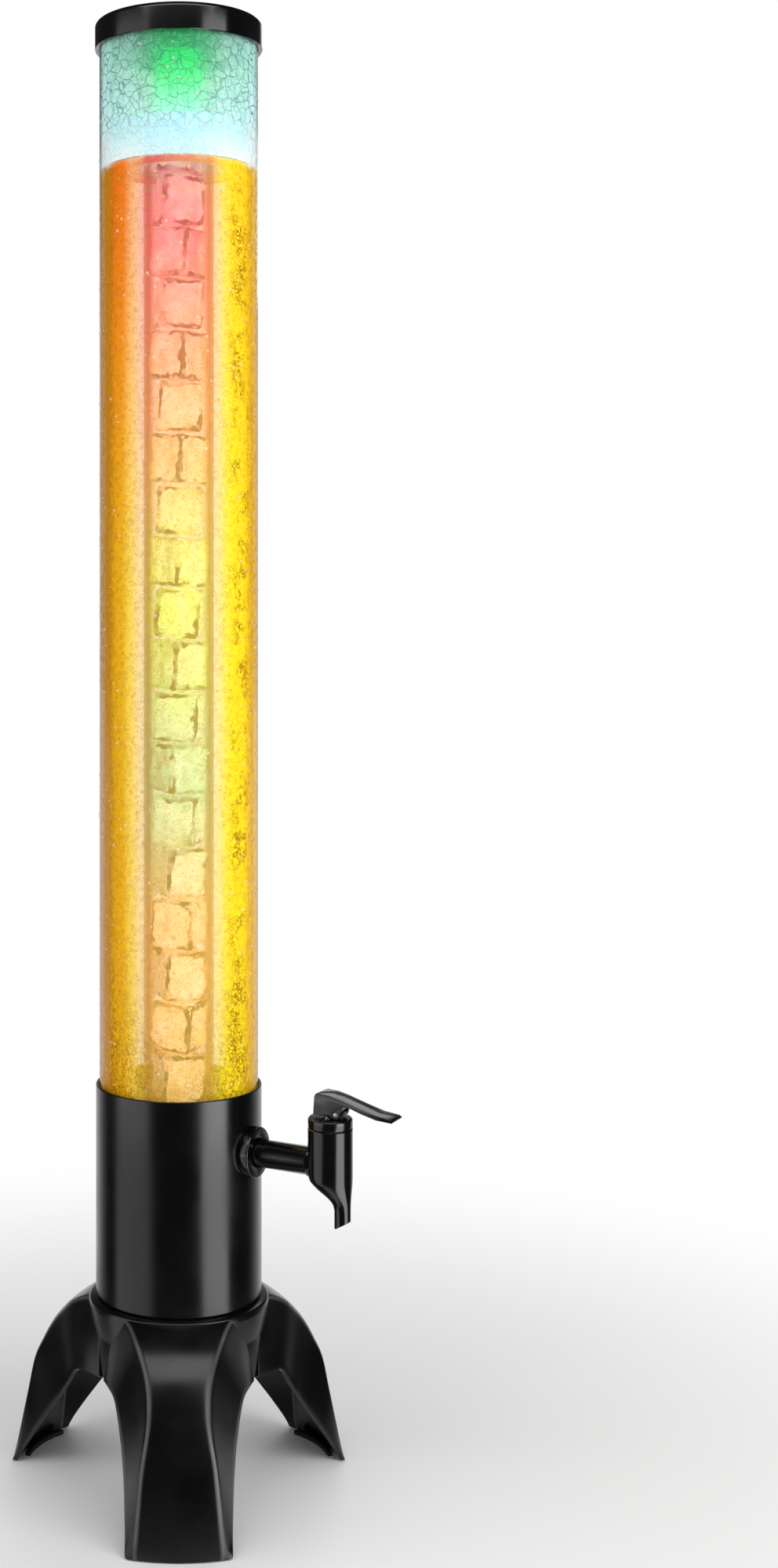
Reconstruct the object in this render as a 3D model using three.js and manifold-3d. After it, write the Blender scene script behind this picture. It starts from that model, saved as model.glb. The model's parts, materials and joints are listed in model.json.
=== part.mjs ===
// Beer tower: a clear tube of beer on a black reservoir that stands on three hollow legs.
// A lever tap leaves the reservoir, and an ice tube with a lamp in its cap hangs from the lid.
// Millimetres, +Z up, the floor at Z = 0. The tap points along +X.
import * as THREE from "three";
import { mergeVertices } from "three/addons/utils/BufferGeometryUtils.js";
import Module from "manifold-3d";

const wasm = await Module();
wasm.setup();

// Fits
const CLEARANCE = 0.3; // between two faces that touch
const OVERRUN = 2; // how far a cut runs past the face that it opens

// Roundness
const WIDE_SIDES = 48;
const MIDDLE_SIDES = 36;
const SMALL_SIDES = 20;
const TINY_SIDES = 12;

// Beer tube
const TUBE_RADIUS = 50;
const TUBE_WALL = 3;
const TUBE_LENGTH = 686;
const TUBE_SEAL_THICKNESS = 2;

// Beer and its foam
const HEADSPACE = 86.6; // from the tube's rim down to the beer
const FOAM_DEPTH = 27.7;

// Reservoir, the black sleeve that carries the tube
const SLEEVE_WALL = 1.9; // round the tube's socket
const RESERVOIR_HEIGHT = 131.5;
const RESERVOIR_FLOOR = 3;
const SKIRT_DEPTH = 76.7; // hollow below the floor
const SOCKET_DEPTH = 26.5; // how deep the tube sits
const SLEEVE_EDGE = 0.8; // bevel on both rims

// Stand
const STAND_HEIGHT = 119;
const STAND_WALL = 3;
const HUB_STEP = 1.8; // hub outside the sleeve
const SHOULDER_FLARE = 3; // widest stretch of the hub, near its top
const DECK_THICKNESS = 7;
const SPIGOT_RISE = 15; // collar that the sleeve's skirt slides over
const LEG_COUNT = 3;
const LEG_REACH = 111;
const FOOT_HALF_WIDTH = 31.4;
const PAD_PROUD = 0.8; // rubber below the foot's edge
const PAD_HEIGHT = 3;
const PAD_DEPTH = 3.6;
const PAD_HALF_WIDTH = 20;
const padCurveShare = 1.2; // of the foot's own curve

// Leg outline from the hub to the foot. Each row of the back holds its reach out from the sleeve,
// height, half width and crown; each row of the free edge holds reach, height and half width.
const legBackShares = [
  [0, 1, 1.21, 0.525],
  [0.111, 0.975, 0.987, 0.28],
  [0.299, 0.908, 0.806, 0.143],
  [0.47, 0.824, 0.662, 0.096],
  [0.59, 0.748, 0.599, 0.076],
  [0.692, 0.66, 0.586, 0.064],
  [0.788, 0.555, 0.624, 0.064],
  [0.841, 0.395, 0.717, 0.07],
  [0.915, 0.21, 0.78, 0.08],
  [0.983, 0.042, 0.828, 0.089],
  [1, 0, 0.844, 0.096],
];
const legEdgeShares = [
  [-0.385, 0.622, 1.481],
  [-0.179, 0.63, 1.385],
  [0.005, 0.605, 1.255],
  [0.128, 0.524, 1.172],
  [0.231, 0.456, 1.124],
  [0.316, 0.4, 1.086],
  [0.504, 0.276, 1.038],
  [0.641, 0.187, 1.019],
  [0.778, 0.097, 1.003],
  [0.889, 0.0235, 1],
  [0.925, 0, 1],
];
const crownShares = [-1, -0.66, -0.33, 0, 0.33, 0.66, 1];

// Lid
const LID_SKIRT_WALL = 2.55;
const LID_SKIRT_DEPTH = 17;
const LID_TOP = 3.1;
const LID_ROUNDING = 3;
const LID_SEAL_THICKNESS = 1.4;
const LID_HOLE_RADIUS = 20;

// Ice tube
const ICE_TUBE_RADIUS = 22.2;
const ICE_TUBE_WALL = 2;
const ICE_FLOOR_GAP = 4; // end cap above the reservoir's floor
const END_CAP_HEIGHT = 20;
const END_CAP_WALL = 1.1;
const END_CAP_FLOOR = 3;
const END_CAP_ROUNDING = 1.8;
const ICE_SEAL_THICKNESS = 1.4;

// Ice cubes
const CUBE_WIDTH = 26;
const CUBE_HEIGHT = 27;
const CUBE_GAP = 5.4;
const ICE_HEADROOM = 30;
const CUBE_TURN = THREE.MathUtils.degToRad(137.5); // from one cube to the next
const CUBE_TILT = THREE.MathUtils.degToRad(3.5);

// Ice tube's cap, which holds the lamp
const CAP_WALL = 3;
const CAP_HEIGHT = 17;
const CAP_SOCKET_DEPTH = 11.4;
const PLUG_DEPTH = 5.6;
const CAP_FLOOR = 2.2;
const CAVITY_RADIUS = 15.2;
const COVER_RADIUS = 17;
const COVER_THICKNESS = 2.4;
const COVER_SEAL_THICKNESS = 1.2;
const GRIP_RADIUS = 2.4;
const GRIP_DEPTH = 1;

// Power button
const BUTTON_RADIUS = 6;
const BUTTON_PROUD = 0.9;
const BUTTON_TRAVEL = 1.2;
const BUTTON_FLANGE = 1.2; // both its width and its thickness
const BUTTON_STEM_RADIUS = 1.1;

// Lamp
const LENS_RADIUS = 4.9;
const LENS_DOME_DEPTH = 4.5; // below the cap's plug
const LENS_FLANGE_WIDTH = 2.1;
const LENS_FLANGE = 1.2;
const LENS_POCKET_RADIUS = 3;
const LENS_POCKET_DEPTH = 4;
const LED_WIDTH = 3;
const LED_HEIGHT = 2.4;
const BOARD_RADIUS = 14.5;
const BOARD_THICKNESS = 1.2;
const SWITCH_WIDTH = 3.6;
const SWITCH_HEIGHT = 1.3;
const HOLDER_FLOOR = 2;
const HOLDER_RIM = 2.3; // holder above its cells
const CELL_COUNT = 3;
const CELL_RADIUS = 5.8;
const CELL_HEIGHT = 5.4;
const CELL_CIRCLE = 8;

// Tap
const TAP_RISE = 15; // shank above the reservoir's floor
const TAP_PROJECTION = 53.5; // barrel in front of the sleeve
const SHANK_RADIUS = 8.5;
const WATERWAY_RADIUS = 4.5;
const COLLAR_RADIUS = 15.5;
const COLLAR_DEPTH = 4.8;
const BOSS_RADIUS = 13;
const BOSS_DEPTH = 3;
const WASHER_RADIUS = 12;
const WASHER_THICKNESS = 2;
const NUT_RADIUS = 13.8; // across the corners, halved
const NUT_DEPTH = 5;
const SHANK_END = 2.1; // past the nut
const BARREL_RADIUS = 13.7;
const BARREL_DROP = 9; // below the shank's axis
const BARREL_HEIGHT = 31.2;
const BARREL_WALL = 3.7;
const CHAMBER_FLOOR = 2;
const SPOUT_OFFSET = 8.2;
const SPOUT_RADIUS = 5;
const SPOUT_BORE = 3.6;
const SPOUT_NECK = 17; // from the barrel down to the spout
const SPOUT_LENGTH = 10;
const SPOUT_SLANT = 5; // the mouth is cut this much lower at the back

// Bonnet, lever and valve
const BONNET_HEIGHT = 6;
const BONNET_EDGE = 1;
const BONNET_PLUG_DEPTH = 6;
const PIVOT_OFFSET = 6.5; // lever pin in front of the stem
const PIVOT_RISE = 3.2;
const PIN_RADIUS = 1.5;
const LUG_RADIUS = 2.6;
const LUG_HALF_WIDTH = 4.1;
const CHEEK_WALL = 2.5;
const LEVER_REACH = 37.8; // from the pin to the tip
const LEVER_HEIGHT = 15.1;
const LEVER_ROOF = 4; // over the stem's head
const FINGER_RADIUS = 1.3;
const STEM_RADIUS = 1.8;
const STEM_HEAD_RADIUS = 3.6;
const STEM_HEAD_HEIGHT = 2;
const SEAT_RADIUS = 6.2;
const SEAT_HEIGHT = 5.7;
const SPRING_RADIUS = 4.6;
const SPRING_WIRE = 0.55;
const SPRING_TURNS = 6;

// Lever outline: reach from the pin, and height above the bonnet.
const leverShares = [
  [-0.389, 0.12],
  [-0.368, 0.86],
  [-0.345, 0.965],
  [-0.296, 1],
  [-0.111, 0.967],
  [0.074, 0.861],
  [0.259, 0.728],
  [0.434, 0.596],
  [0.709, 0.42],
  [0.95, 0.345],
  [1, 0.272],
  [0.974, 0.2],
  [0.709, 0.238],
  [0.434, 0.411],
  [0.259, 0.556],
  [0.14, 0.583],
  [0.09, 0.344],
  [0.069, 0.146],
  [0.032, 0.046],
  [-0.037, 0.046],
  [-0.085, 0.12],
];

// Finishes
const BLACK_PLASTIC = { color: 0x121214, roughness: 0.28, metalness: 0 };
const BLACK_RUBBER = { color: 0x18181a, roughness: 0.8, metalness: 0 };
const CLEAR_PLASTIC = { color: 0xf4f8fa, roughness: 0.08, metalness: 0, transparent: true, opacity: 0.25 };
const BEER = { color: 0xf0a81c, roughness: 0.1, metalness: 0, transparent: true, opacity: 0.6 };
const FOAM = { color: 0xd8f0f6, roughness: 0.6, metalness: 0, transparent: true, opacity: 0.8 };
const ICE = { color: 0xe6f2f6, roughness: 0.15, metalness: 0, transparent: true, opacity: 0.45 };
const STEEL = { color: 0xb8bcc0, roughness: 0.3, metalness: 1 };
const BOARD_GREEN = { color: 0x1e6b3c, roughness: 0.5, metalness: 0 };
const LAMP_GREEN = { color: 0x7dffb0, roughness: 0.2, metalness: 0, emissive: 0x19d86c };

// Heights from the floor up
const hubBottom = STAND_HEIGHT * legEdgeShares[0][1];
const reservoirBottom = STAND_HEIGHT + CLEARANCE;
const reservoirTop = reservoirBottom + RESERVOIR_HEIGHT;
const floorBottom = reservoirBottom + SKIRT_DEPTH;
const floorTop = floorBottom + RESERVOIR_FLOOR;
const socketFloor = reservoirTop - SOCKET_DEPTH;
const tubeBottom = socketFloor + TUBE_SEAL_THICKNESS + 2 * CLEARANCE;
const tubeTop = tubeBottom + TUBE_LENGTH;
const beerTop = tubeTop - HEADSPACE;
const lidUnderside = tubeTop + LID_SEAL_THICKNESS + 2 * CLEARANCE;
const lidTop = lidUnderside + LID_TOP;
const capShoulder = lidUnderside - CLEARANCE;
const capBottom = capShoulder - CAP_HEIGHT;
const plugBottom = capBottom - PLUG_DEPTH;
const cavityFloor = plugBottom + CAP_FLOOR;
const iceTubeTop = capBottom + CAP_SOCKET_DEPTH - ICE_SEAL_THICKNESS - 2 * CLEARANCE;
const endCapBottom = floorTop + ICE_FLOOR_GAP;
const endCapFloorTop = endCapBottom + END_CAP_FLOOR;
const iceTubeBottom = endCapFloorTop + ICE_SEAL_THICKNESS + 2 * CLEARANCE;
const coverBottom = lidTop - COVER_THICKNESS;
const coverLedge = coverBottom - COVER_SEAL_THICKNESS - 2 * CLEARANCE;
const lensFlangeTop = cavityFloor + CLEARANCE + LENS_FLANGE;
const boardBottom = lensFlangeTop + CLEARANCE;
const boardTop = boardBottom + BOARD_THICKNESS;
const switchTop = boardTop + CLEARANCE + SWITCH_HEIGHT;
const holderBottom = switchTop + 2 * CLEARANCE;
const cellBottom = holderBottom + HOLDER_FLOOR + CLEARANCE;

// Radii from the axis out
const bore = TUBE_RADIUS - TUBE_WALL;
const socketRadius = TUBE_RADIUS + CLEARANCE;
const sleeveRadius = socketRadius + SLEEVE_WALL;
const lidRadius = socketRadius + LID_SKIRT_WALL;
const legRoot = sleeveRadius + CLEARANCE;
const hubRadius = sleeveRadius + HUB_STEP;
const iceBore = ICE_TUBE_RADIUS - ICE_TUBE_WALL;
const endCapRadius = ICE_TUBE_RADIUS + CLEARANCE + END_CAP_WALL;
const capRadius = ICE_TUBE_RADIUS + CLEARANCE + CAP_WALL;
const beerBore = endCapRadius + CLEARANCE;
const coverMouth = COVER_RADIUS + CLEARANCE;

// Places along the tap
const tapHeight = floorTop + TAP_RISE;
const tapAxis = sleeveRadius + TAP_PROJECTION;
const bossFace = bore - BOSS_DEPTH;
const washerFace = bossFace - CLEARANCE - WASHER_THICKNESS;
const nutFace = washerFace - CLEARANCE - NUT_DEPTH;
const shankStart = nutFace - SHANK_END;
const barrelBottom = tapHeight - BARREL_DROP;
const barrelTop = barrelBottom + BARREL_HEIGHT;
const chamberRadius = BARREL_RADIUS - BARREL_WALL;
const chamberFloor = barrelBottom + CHAMBER_FLOOR;
const bonnetBottom = barrelTop + CLEARANCE;
const bonnetTop = bonnetBottom + BONNET_HEIGHT;
const bonnetPlugBottom = bonnetBottom - BONNET_PLUG_DEPTH;
const spoutAxis = tapAxis + SPOUT_OFFSET;
const spoutTop = barrelBottom - SPOUT_NECK;
const pivotAxis = tapAxis + PIVOT_OFFSET;
const pivotHeight = bonnetTop + PIVOT_RISE;
const fingerHeight = bonnetTop + FINGER_RADIUS + 4 * CLEARANCE;
const stemHeadBottom = fingerHeight + FINGER_RADIUS + CLEARANCE;
const seatBottom = chamberFloor + CLEARANCE;
const seatTop = seatBottom + SEAT_HEIGHT;
const cheekInside = LUG_HALF_WIDTH + CLEARANCE;
const leverHalfWidth = cheekInside + CHEEK_WALL;

// A geometry with its shared corners merged, its empty triangles dropped and its faces outwards.
function closed(geometry) {
  const bare = new THREE.BufferGeometry();
  bare.setAttribute("position", geometry.getAttribute("position"));
  bare.setIndex(geometry.index);
  const merged = mergeVertices(bare);
  const places = merged.getAttribute("position");
  const corners = [new THREE.Vector3(), new THREE.Vector3(), new THREE.Vector3()];
  const kept = [];
  let volume = 0;
  for (let first = 0; first < merged.index.count; first += 3) {
    const ids = corners.map((_, side) => merged.index.getX(first + side));
    if (new Set(ids).size < 3) continue;
    ids.forEach((id, side) => corners[side].fromBufferAttribute(places, id));
    volume += corners[0].dot(corners[1].clone().cross(corners[2]));
    kept.push(...ids);
  }
  merged.setIndex(volume < 0 ? kept.reverse() : kept);
  return merged;
}

// A geometry as a solid that can be joined and cut.
function solid(geometry) {
  const shell = closed(geometry);
  const vertProperties = Float32Array.from(shell.getAttribute("position").array);
  const triVerts = Uint32Array.from(shell.index.array);
  return new wasm.Manifold(new wasm.Mesh({ numProp: 3, vertProperties, triVerts }));
}

// Joins the first solid with the others.
function join(first, ...others) {
  return others.reduce((whole, other) => whole.add(other), first);
}

// Cuts the others from the first solid.
function cut(first, ...others) {
  return others.reduce((whole, other) => whole.subtract(other), first);
}

// Turns an outline of [radius, height] points about the Z axis, centred on X = place.
function turned(outline, sides = WIDE_SIDES, place = 0) {
  const onAxis = outline[0][0] === 0;
  const loop = onAxis ? outline : [...outline, outline[0]];
  const points = loop.map(([radius, height]) => new THREE.Vector2(radius, height));
  const lathe = new THREE.LatheGeometry(points, sides);
  return solid(lathe.rotateX(Math.PI / 2).translate(place, 0, 0));
}

// A ring between two radii and two heights.
function ring(inner, outer, low, high, sides = WIDE_SIDES, place = 0) {
  const outline = [[inner, low], [outer, low], [outer, high], [inner, high]];
  return turned(outline, sides, place);
}

// A round bar from one point to another.
function bar(radius, from, to, sides = SMALL_SIDES) {
  const start = new THREE.Vector3(...from);
  const along = new THREE.Vector3(...to).sub(start);
  const length = along.length();
  const upright = new THREE.Vector3(0, 1, 0);
  const turn = new THREE.Quaternion().setFromUnitVectors(upright, along.normalize());
  const rod = new THREE.CylinderGeometry(radius, radius, length, sides);
  rod.translate(0, length / 2, 0).applyQuaternion(turn).translate(...start);
  return solid(rod);
}

// A block between its lowest and highest corners.
function block(low, high) {
  const size = high.map((value, axis) => value - low[axis]);
  const centre = high.map((value, axis) => (value + low[axis]) / 2);
  return solid(new THREE.BoxGeometry(...size).translate(...centre));
}

// A plan outline of [x, y] points between two heights.
function slab(outline, low, high, turn = 0) {
  const shape = new THREE.Shape(outline.map(([x, y]) => new THREE.Vector2(x, y)));
  const plate = new THREE.ExtrudeGeometry(shape, { depth: high - low, bevelEnabled: false });
  return solid(plate.translate(0, 0, low).rotateZ(turn));
}

// A side outline of [x, z] points, as wide on each side of Y = 0.
function profile(outline, halfWidth) {
  const shape = new THREE.Shape(outline.map(([x, z]) => new THREE.Vector2(x, z)));
  const plate = new THREE.ExtrudeGeometry(shape, { depth: 2 * halfWidth, bevelEnabled: false });
  return solid(plate.rotateX(Math.PI / 2).translate(0, halfWidth, 0));
}

// A solid through a row of sections, each a loop of as many points.
function lofted(sections, turn = 0) {
  const count = sections[0].length;
  const points = sections.flat();
  const faces = [];
  for (let row = 0; row + 1 < sections.length; row++) {
    for (let side = 0; side < count; side++) {
      const next = (side + 1) % count;
      const near = row * count;
      const far = near + count;
      faces.push(near + side, far + side, far + next);
      faces.push(near + side, far + next, near + next);
    }
  }
  [0, sections.length - 1].forEach((row, end) => {
    const centre = new THREE.Vector3();
    sections[row].forEach((point) => centre.addScaledVector(point, 1 / count));
    const hub = points.push(centre) - 1;
    for (let side = 0; side < count; side++) {
      const pair = [row * count + side, row * count + ((side + 1) % count)];
      faces.push(hub, ...(end ? pair.reverse() : pair));
    }
  });
  const geometry = new THREE.BufferGeometry().setFromPoints(points);
  geometry.setIndex(faces);
  return solid(geometry.rotateZ(turn));
}

// A named mesh of a solid, with its own material.
function piece(name, made, finish) {
  const mesh = made.getMesh();
  const geometry = new THREE.BufferGeometry();
  geometry.setAttribute("position", new THREE.BufferAttribute(mesh.vertProperties, 3));
  geometry.setIndex(new THREE.BufferAttribute(mesh.triVerts, 1));
  geometry.computeVertexNormals();
  const part = new THREE.Mesh(geometry, new THREE.MeshStandardMaterial({ ...finish, flatShading: true }));
  part.name = name;
  return part;
}

// A group of pieces.
function group(...pieces) {
  return new THREE.Group().add(...pieces);
}

// Stand

// The direction of a leg, with the tap midway between two of them.
function legDirection(index) {
  return Math.PI + (index * 2 * Math.PI) / LEG_COUNT;
}

// Reach from the tower's axis of a share of the leg.
function legReach(share) {
  return legRoot + share * (LEG_REACH - legRoot);
}

// One section across a leg, drawn in by a wall and let out below its free edges.
function legSection(row, wall) {
  const [out, high, wide, crown] = legBackShares[row];
  const [edgeOut, edgeHigh, edgeWide] = legEdgeShares[row];
  const before = legBackShares[Math.max(row - 1, 0)];
  const after = legBackShares[Math.min(row + 1, legBackShares.length - 1)];
  const run = legReach(after[0]) - legReach(before[0]);
  const fall = (after[1] - before[1]) * STAND_HEIGHT;
  const slope = Math.hypot(run, fall);
  const backOut = legReach(out) + (wall * fall) / slope;
  const backHigh = high * STAND_HEIGHT - (wall * run) / slope;
  const backWide = wide * FOOT_HALF_WIDTH - wall;
  const letOut = wall ? wall + OVERRUN : 0;
  const edge = (side) =>
    new THREE.Vector3(
      legReach(edgeOut) - letOut,
      side * (edgeWide * FOOT_HALF_WIDTH - wall),
      edgeHigh * STAND_HEIGHT - letOut,
    );
  const back = crownShares.map(
    (share) =>
      new THREE.Vector3(
        backOut - crown * FOOT_HALF_WIDTH * share * share,
        share * backWide,
        backHigh,
      ),
  );
  return [edge(-1), ...back, edge(1)];
}

// The space that a leg fills, or the hollow under it.
function legForm(wall, turn) {
  const sections = legBackShares.map((_, row) => legSection(row, wall));
  if (wall) {
    const last = sections[sections.length - 1];
    const drop = new THREE.Vector3(0, 0, -OVERRUN);
    sections.push(last.map((point) => point.clone().add(drop)));
  }
  return lofted(sections, turn);
}

function makeStand() {
  const wide = hubRadius + SHOULDER_FLARE;
  const inside = hubRadius - STAND_WALL;
  const spigot = bore - CLEARANCE;
  const deckBottom = STAND_HEIGHT - DECK_THICKNESS;
  const hub = turned([
    [inside, hubBottom],
    [hubRadius, hubBottom],
    [hubRadius, deckBottom - 2 * DECK_THICKNESS],
    [wide, deckBottom + DECK_THICKNESS / 2],
    [wide - SHOULDER_FLARE / 4, STAND_HEIGHT - SHOULDER_FLARE / 4],
    [legRoot, STAND_HEIGHT],
    [spigot, STAND_HEIGHT],
    [spigot, STAND_HEIGHT + SPIGOT_RISE],
    [spigot - STAND_WALL, STAND_HEIGHT + SPIGOT_RISE],
    [spigot - STAND_WALL, deckBottom],
    [inside, deckBottom],
  ]);
  const well = ring(0, inside, -OVERRUN, STAND_HEIGHT - CLEARANCE);
  const ground = ring(0, LEG_REACH + FOOT_HALF_WIDTH, -OVERRUN, PAD_PROUD);
  const legs = Array.from({ length: LEG_COUNT }, (_, index) => {
    const turn = legDirection(index);
    return cut(legForm(0, turn), legForm(STAND_WALL, turn), well, ground);
  });
  return piece("base_stand", join(hub, ...legs), BLACK_PLASTIC);
}

// A rubber strip that follows the inside of a foot.
function makeFootPad(index) {
  const crown = legBackShares[legBackShares.length - 1][3] * FOOT_HALF_WIDTH;
  const front = LEG_REACH - STAND_WALL - PAD_HEIGHT / 4 - CLEARANCE;
  const curve = (back) =>
    crownShares.map((share) => [
      front - back - padCurveShare * crown * share * share,
      share * PAD_HALF_WIDTH,
    ]);
  const outline = [...curve(0), ...curve(PAD_DEPTH).reverse()];
  const pad = slab(outline, 0, PAD_HEIGHT, legDirection(index));
  return piece("foot_pad_" + (index + 1), pad, BLACK_RUBBER);
}

// Reservoir and tube

function makeReservoir() {
  const body = turned([
    [0, floorBottom],
    [bore, floorBottom],
    [bore, reservoirBottom],
    [sleeveRadius - SLEEVE_EDGE, reservoirBottom],
    [sleeveRadius, reservoirBottom + SLEEVE_EDGE],
    [sleeveRadius, reservoirTop - SLEEVE_EDGE],
    [sleeveRadius - SLEEVE_EDGE, reservoirTop],
    [socketRadius, reservoirTop],
    [socketRadius, socketFloor],
    [bore, socketFloor],
    [bore, floorTop],
    [0, floorTop],
  ]);
  const bossRoot = bore + SLEEVE_WALL;
  const boss = bar(BOSS_RADIUS, [bossFace, 0, tapHeight], [bossRoot, 0, tapHeight], WIDE_SIDES);
  const wall = turned([
    [0, floorBottom],
    [sleeveRadius - SLEEVE_WALL, floorBottom],
    [sleeveRadius - SLEEVE_WALL, socketFloor],
    [0, socketFloor],
  ]);
  const far = sleeveRadius + OVERRUN;
  const hole = bar(SHANK_RADIUS + CLEARANCE, [bossFace - OVERRUN, 0, tapHeight], [far, 0, tapHeight]);
  return piece("reservoir", cut(join(body, boss.intersect(wall)), hole), BLACK_PLASTIC);
}

function makeTube() {
  const seal = ring(bore, TUBE_RADIUS, socketFloor + CLEARANCE, tubeBottom - CLEARANCE);
  const tube = ring(bore, TUBE_RADIUS, tubeBottom, tubeTop);
  return group(piece("tube_seal", seal, BLACK_RUBBER), piece("main_tube", tube, CLEAR_PLASTIC));
}

function makeBeer() {
  const edge = bore - CLEARANCE;
  const beer = ring(beerBore, edge, floorTop + CLEARANCE, beerTop);
  const reach = Math.max(NUT_RADIUS, BOSS_RADIUS) + CLEARANCE;
  const from = [shankStart - CLEARANCE, 0, tapHeight];
  const notch = bar(reach, from, [bore + OVERRUN, 0, tapHeight], WIDE_SIDES);
  const foam = ring(beerBore, edge, beerTop + CLEARANCE, beerTop + FOAM_DEPTH);
  return group(piece("beer", cut(beer, notch), BEER), piece("foam_head", foam, FOAM));
}

// Lid

function makeLid() {
  const steps = 4;
  const rounding = Array.from({ length: steps + 1 }, (_, step) => {
    const angle = (step * Math.PI) / 2 / steps;
    return [
      lidRadius - LID_ROUNDING * (1 - Math.cos(angle)),
      lidTop - LID_ROUNDING * (1 - Math.sin(angle)),
    ];
  });
  const skirtBottom = lidTop - LID_SKIRT_DEPTH;
  const lid = turned([
    [LID_HOLE_RADIUS, lidUnderside],
    [socketRadius, lidUnderside],
    [socketRadius, skirtBottom],
    [lidRadius, skirtBottom],
    ...rounding,
    [LID_HOLE_RADIUS, lidTop],
  ]);
  const seal = ring(bore, TUBE_RADIUS, tubeTop + CLEARANCE, lidUnderside - CLEARANCE);
  return group(piece("lid", lid, BLACK_PLASTIC), piece("lid_seal", seal, BLACK_RUBBER));
}

// Ice tube

function makeIceTube() {
  const socket = ICE_TUBE_RADIUS + CLEARANCE;
  const round = (low, high) => ring(iceBore, ICE_TUBE_RADIUS, low, high, MIDDLE_SIDES);
  const tube = round(iceTubeBottom, iceTubeTop);
  const endCap = turned(
    [
      [0, endCapBottom],
      [endCapRadius - END_CAP_ROUNDING, endCapBottom],
      [endCapRadius, endCapBottom + END_CAP_ROUNDING],
      [endCapRadius, endCapBottom + END_CAP_HEIGHT],
      [socket, endCapBottom + END_CAP_HEIGHT],
      [socket, endCapFloorTop],
      [0, endCapFloorTop],
    ],
    MIDDLE_SIDES,
  );
  const lowSeal = round(endCapFloorTop + CLEARANCE, iceTubeBottom - CLEARANCE);
  const highSealBottom = iceTubeTop + CLEARANCE;
  const highSeal = round(highSealBottom, highSealBottom + ICE_SEAL_THICKNESS);
  return group(
    piece("ice_tube", tube, CLEAR_PLASTIC),
    piece("ice_tube_end_cap", endCap, BLACK_PLASTIC),
    piece("ice_tube_lower_seal", lowSeal, BLACK_RUBBER),
    piece("ice_tube_upper_seal", highSeal, BLACK_RUBBER),
  );
}

// The column of ice, one cube above another, each turned on from the last and tipped a little.
function makeIce() {
  const bottom = endCapFloorTop + CLEARANCE;
  const pitch = CUBE_HEIGHT + CUBE_GAP;
  const count = Math.floor((plugBottom - ICE_HEADROOM - bottom) / pitch);
  const cubes = Array.from({ length: count }, (_, index) => {
    const shape = new THREE.BoxGeometry(CUBE_WIDTH, CUBE_WIDTH, CUBE_HEIGHT);
    shape.rotateX(CUBE_TILT * Math.sin(CUBE_TURN * index));
    shape.rotateY(CUBE_TILT * Math.cos(CUBE_TURN * index));
    shape.rotateZ(CUBE_TURN * index);
    shape.translate(0, 0, bottom + (index + 1 / 2) * pitch);
    const number = String(index + 1).padStart(2, "0");
    return piece("ice_cube_" + number, solid(shape), ICE);
  });
  return group(...cubes);
}

// Cap and lamp

function makeCap() {
  const plug = iceBore - CLEARANCE;
  const socket = ICE_TUBE_RADIUS + CLEARANCE;
  const neck = LID_HOLE_RADIUS - CLEARANCE;
  const lampHole = LENS_RADIUS + CLEARANCE;
  const outline = [
    [capRadius, capBottom],
    [capRadius, capShoulder],
    [neck, capShoulder],
    [neck, lidTop],
    [coverMouth, lidTop],
    [coverMouth, coverLedge],
    [CAVITY_RADIUS, coverLedge],
    [CAVITY_RADIUS, cavityFloor],
    [lampHole, cavityFloor],
    [lampHole, plugBottom],
    [plug, plugBottom],
    [plug, capBottom + CAP_SOCKET_DEPTH],
    [socket, capBottom + CAP_SOCKET_DEPTH],
    [socket, capBottom],
  ];
  const cap = turned(outline, MIDDLE_SIDES);
  return piece("ice_tube_cap", cap, BLACK_PLASTIC);
}

function makeBatteryCover() {
  const hole = BUTTON_RADIUS + CLEARANCE;
  const disc = ring(hole, COVER_RADIUS, coverBottom, lidTop, MIDDLE_SIDES);
  const gripAt = (hole + COVER_RADIUS) / 2;
  const grips = [-1, 1].map((side) => {
    const place = side * gripAt;
    return bar(GRIP_RADIUS, [place, 0, lidTop - GRIP_DEPTH], [place, 0, lidTop + OVERRUN]);
  });
  const sealLow = coverLedge + CLEARANCE;
  const sealHigh = sealLow + COVER_SEAL_THICKNESS;
  const seal = ring(CAVITY_RADIUS, COVER_RADIUS, sealLow, sealHigh, MIDDLE_SIDES);
  return group(
    piece("battery_cover", cut(disc, ...grips), BLACK_PLASTIC),
    piece("battery_cover_seal", seal, BLACK_RUBBER),
  );
}

function makeButton() {
  const flangeTop = coverBottom - CLEARANCE;
  const flangeBottom = flangeTop - BUTTON_FLANGE;
  const stemBottom = switchTop + BUTTON_TRAVEL + CLEARANCE;
  const top = lidTop + BUTTON_PROUD;
  const button = turned(
    [
      [0, stemBottom],
      [BUTTON_STEM_RADIUS, stemBottom],
      [BUTTON_STEM_RADIUS, flangeBottom],
      [BUTTON_RADIUS + BUTTON_FLANGE, flangeBottom],
      [BUTTON_RADIUS + BUTTON_FLANGE, flangeTop],
      [BUTTON_RADIUS, flangeTop],
      [BUTTON_RADIUS, top - BUTTON_PROUD / 2],
      [BUTTON_RADIUS - BUTTON_PROUD / 2, top],
      [0, top],
    ],
    SMALL_SIDES,
  );
  return piece("power_button", button, BLACK_RUBBER);
}

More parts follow.
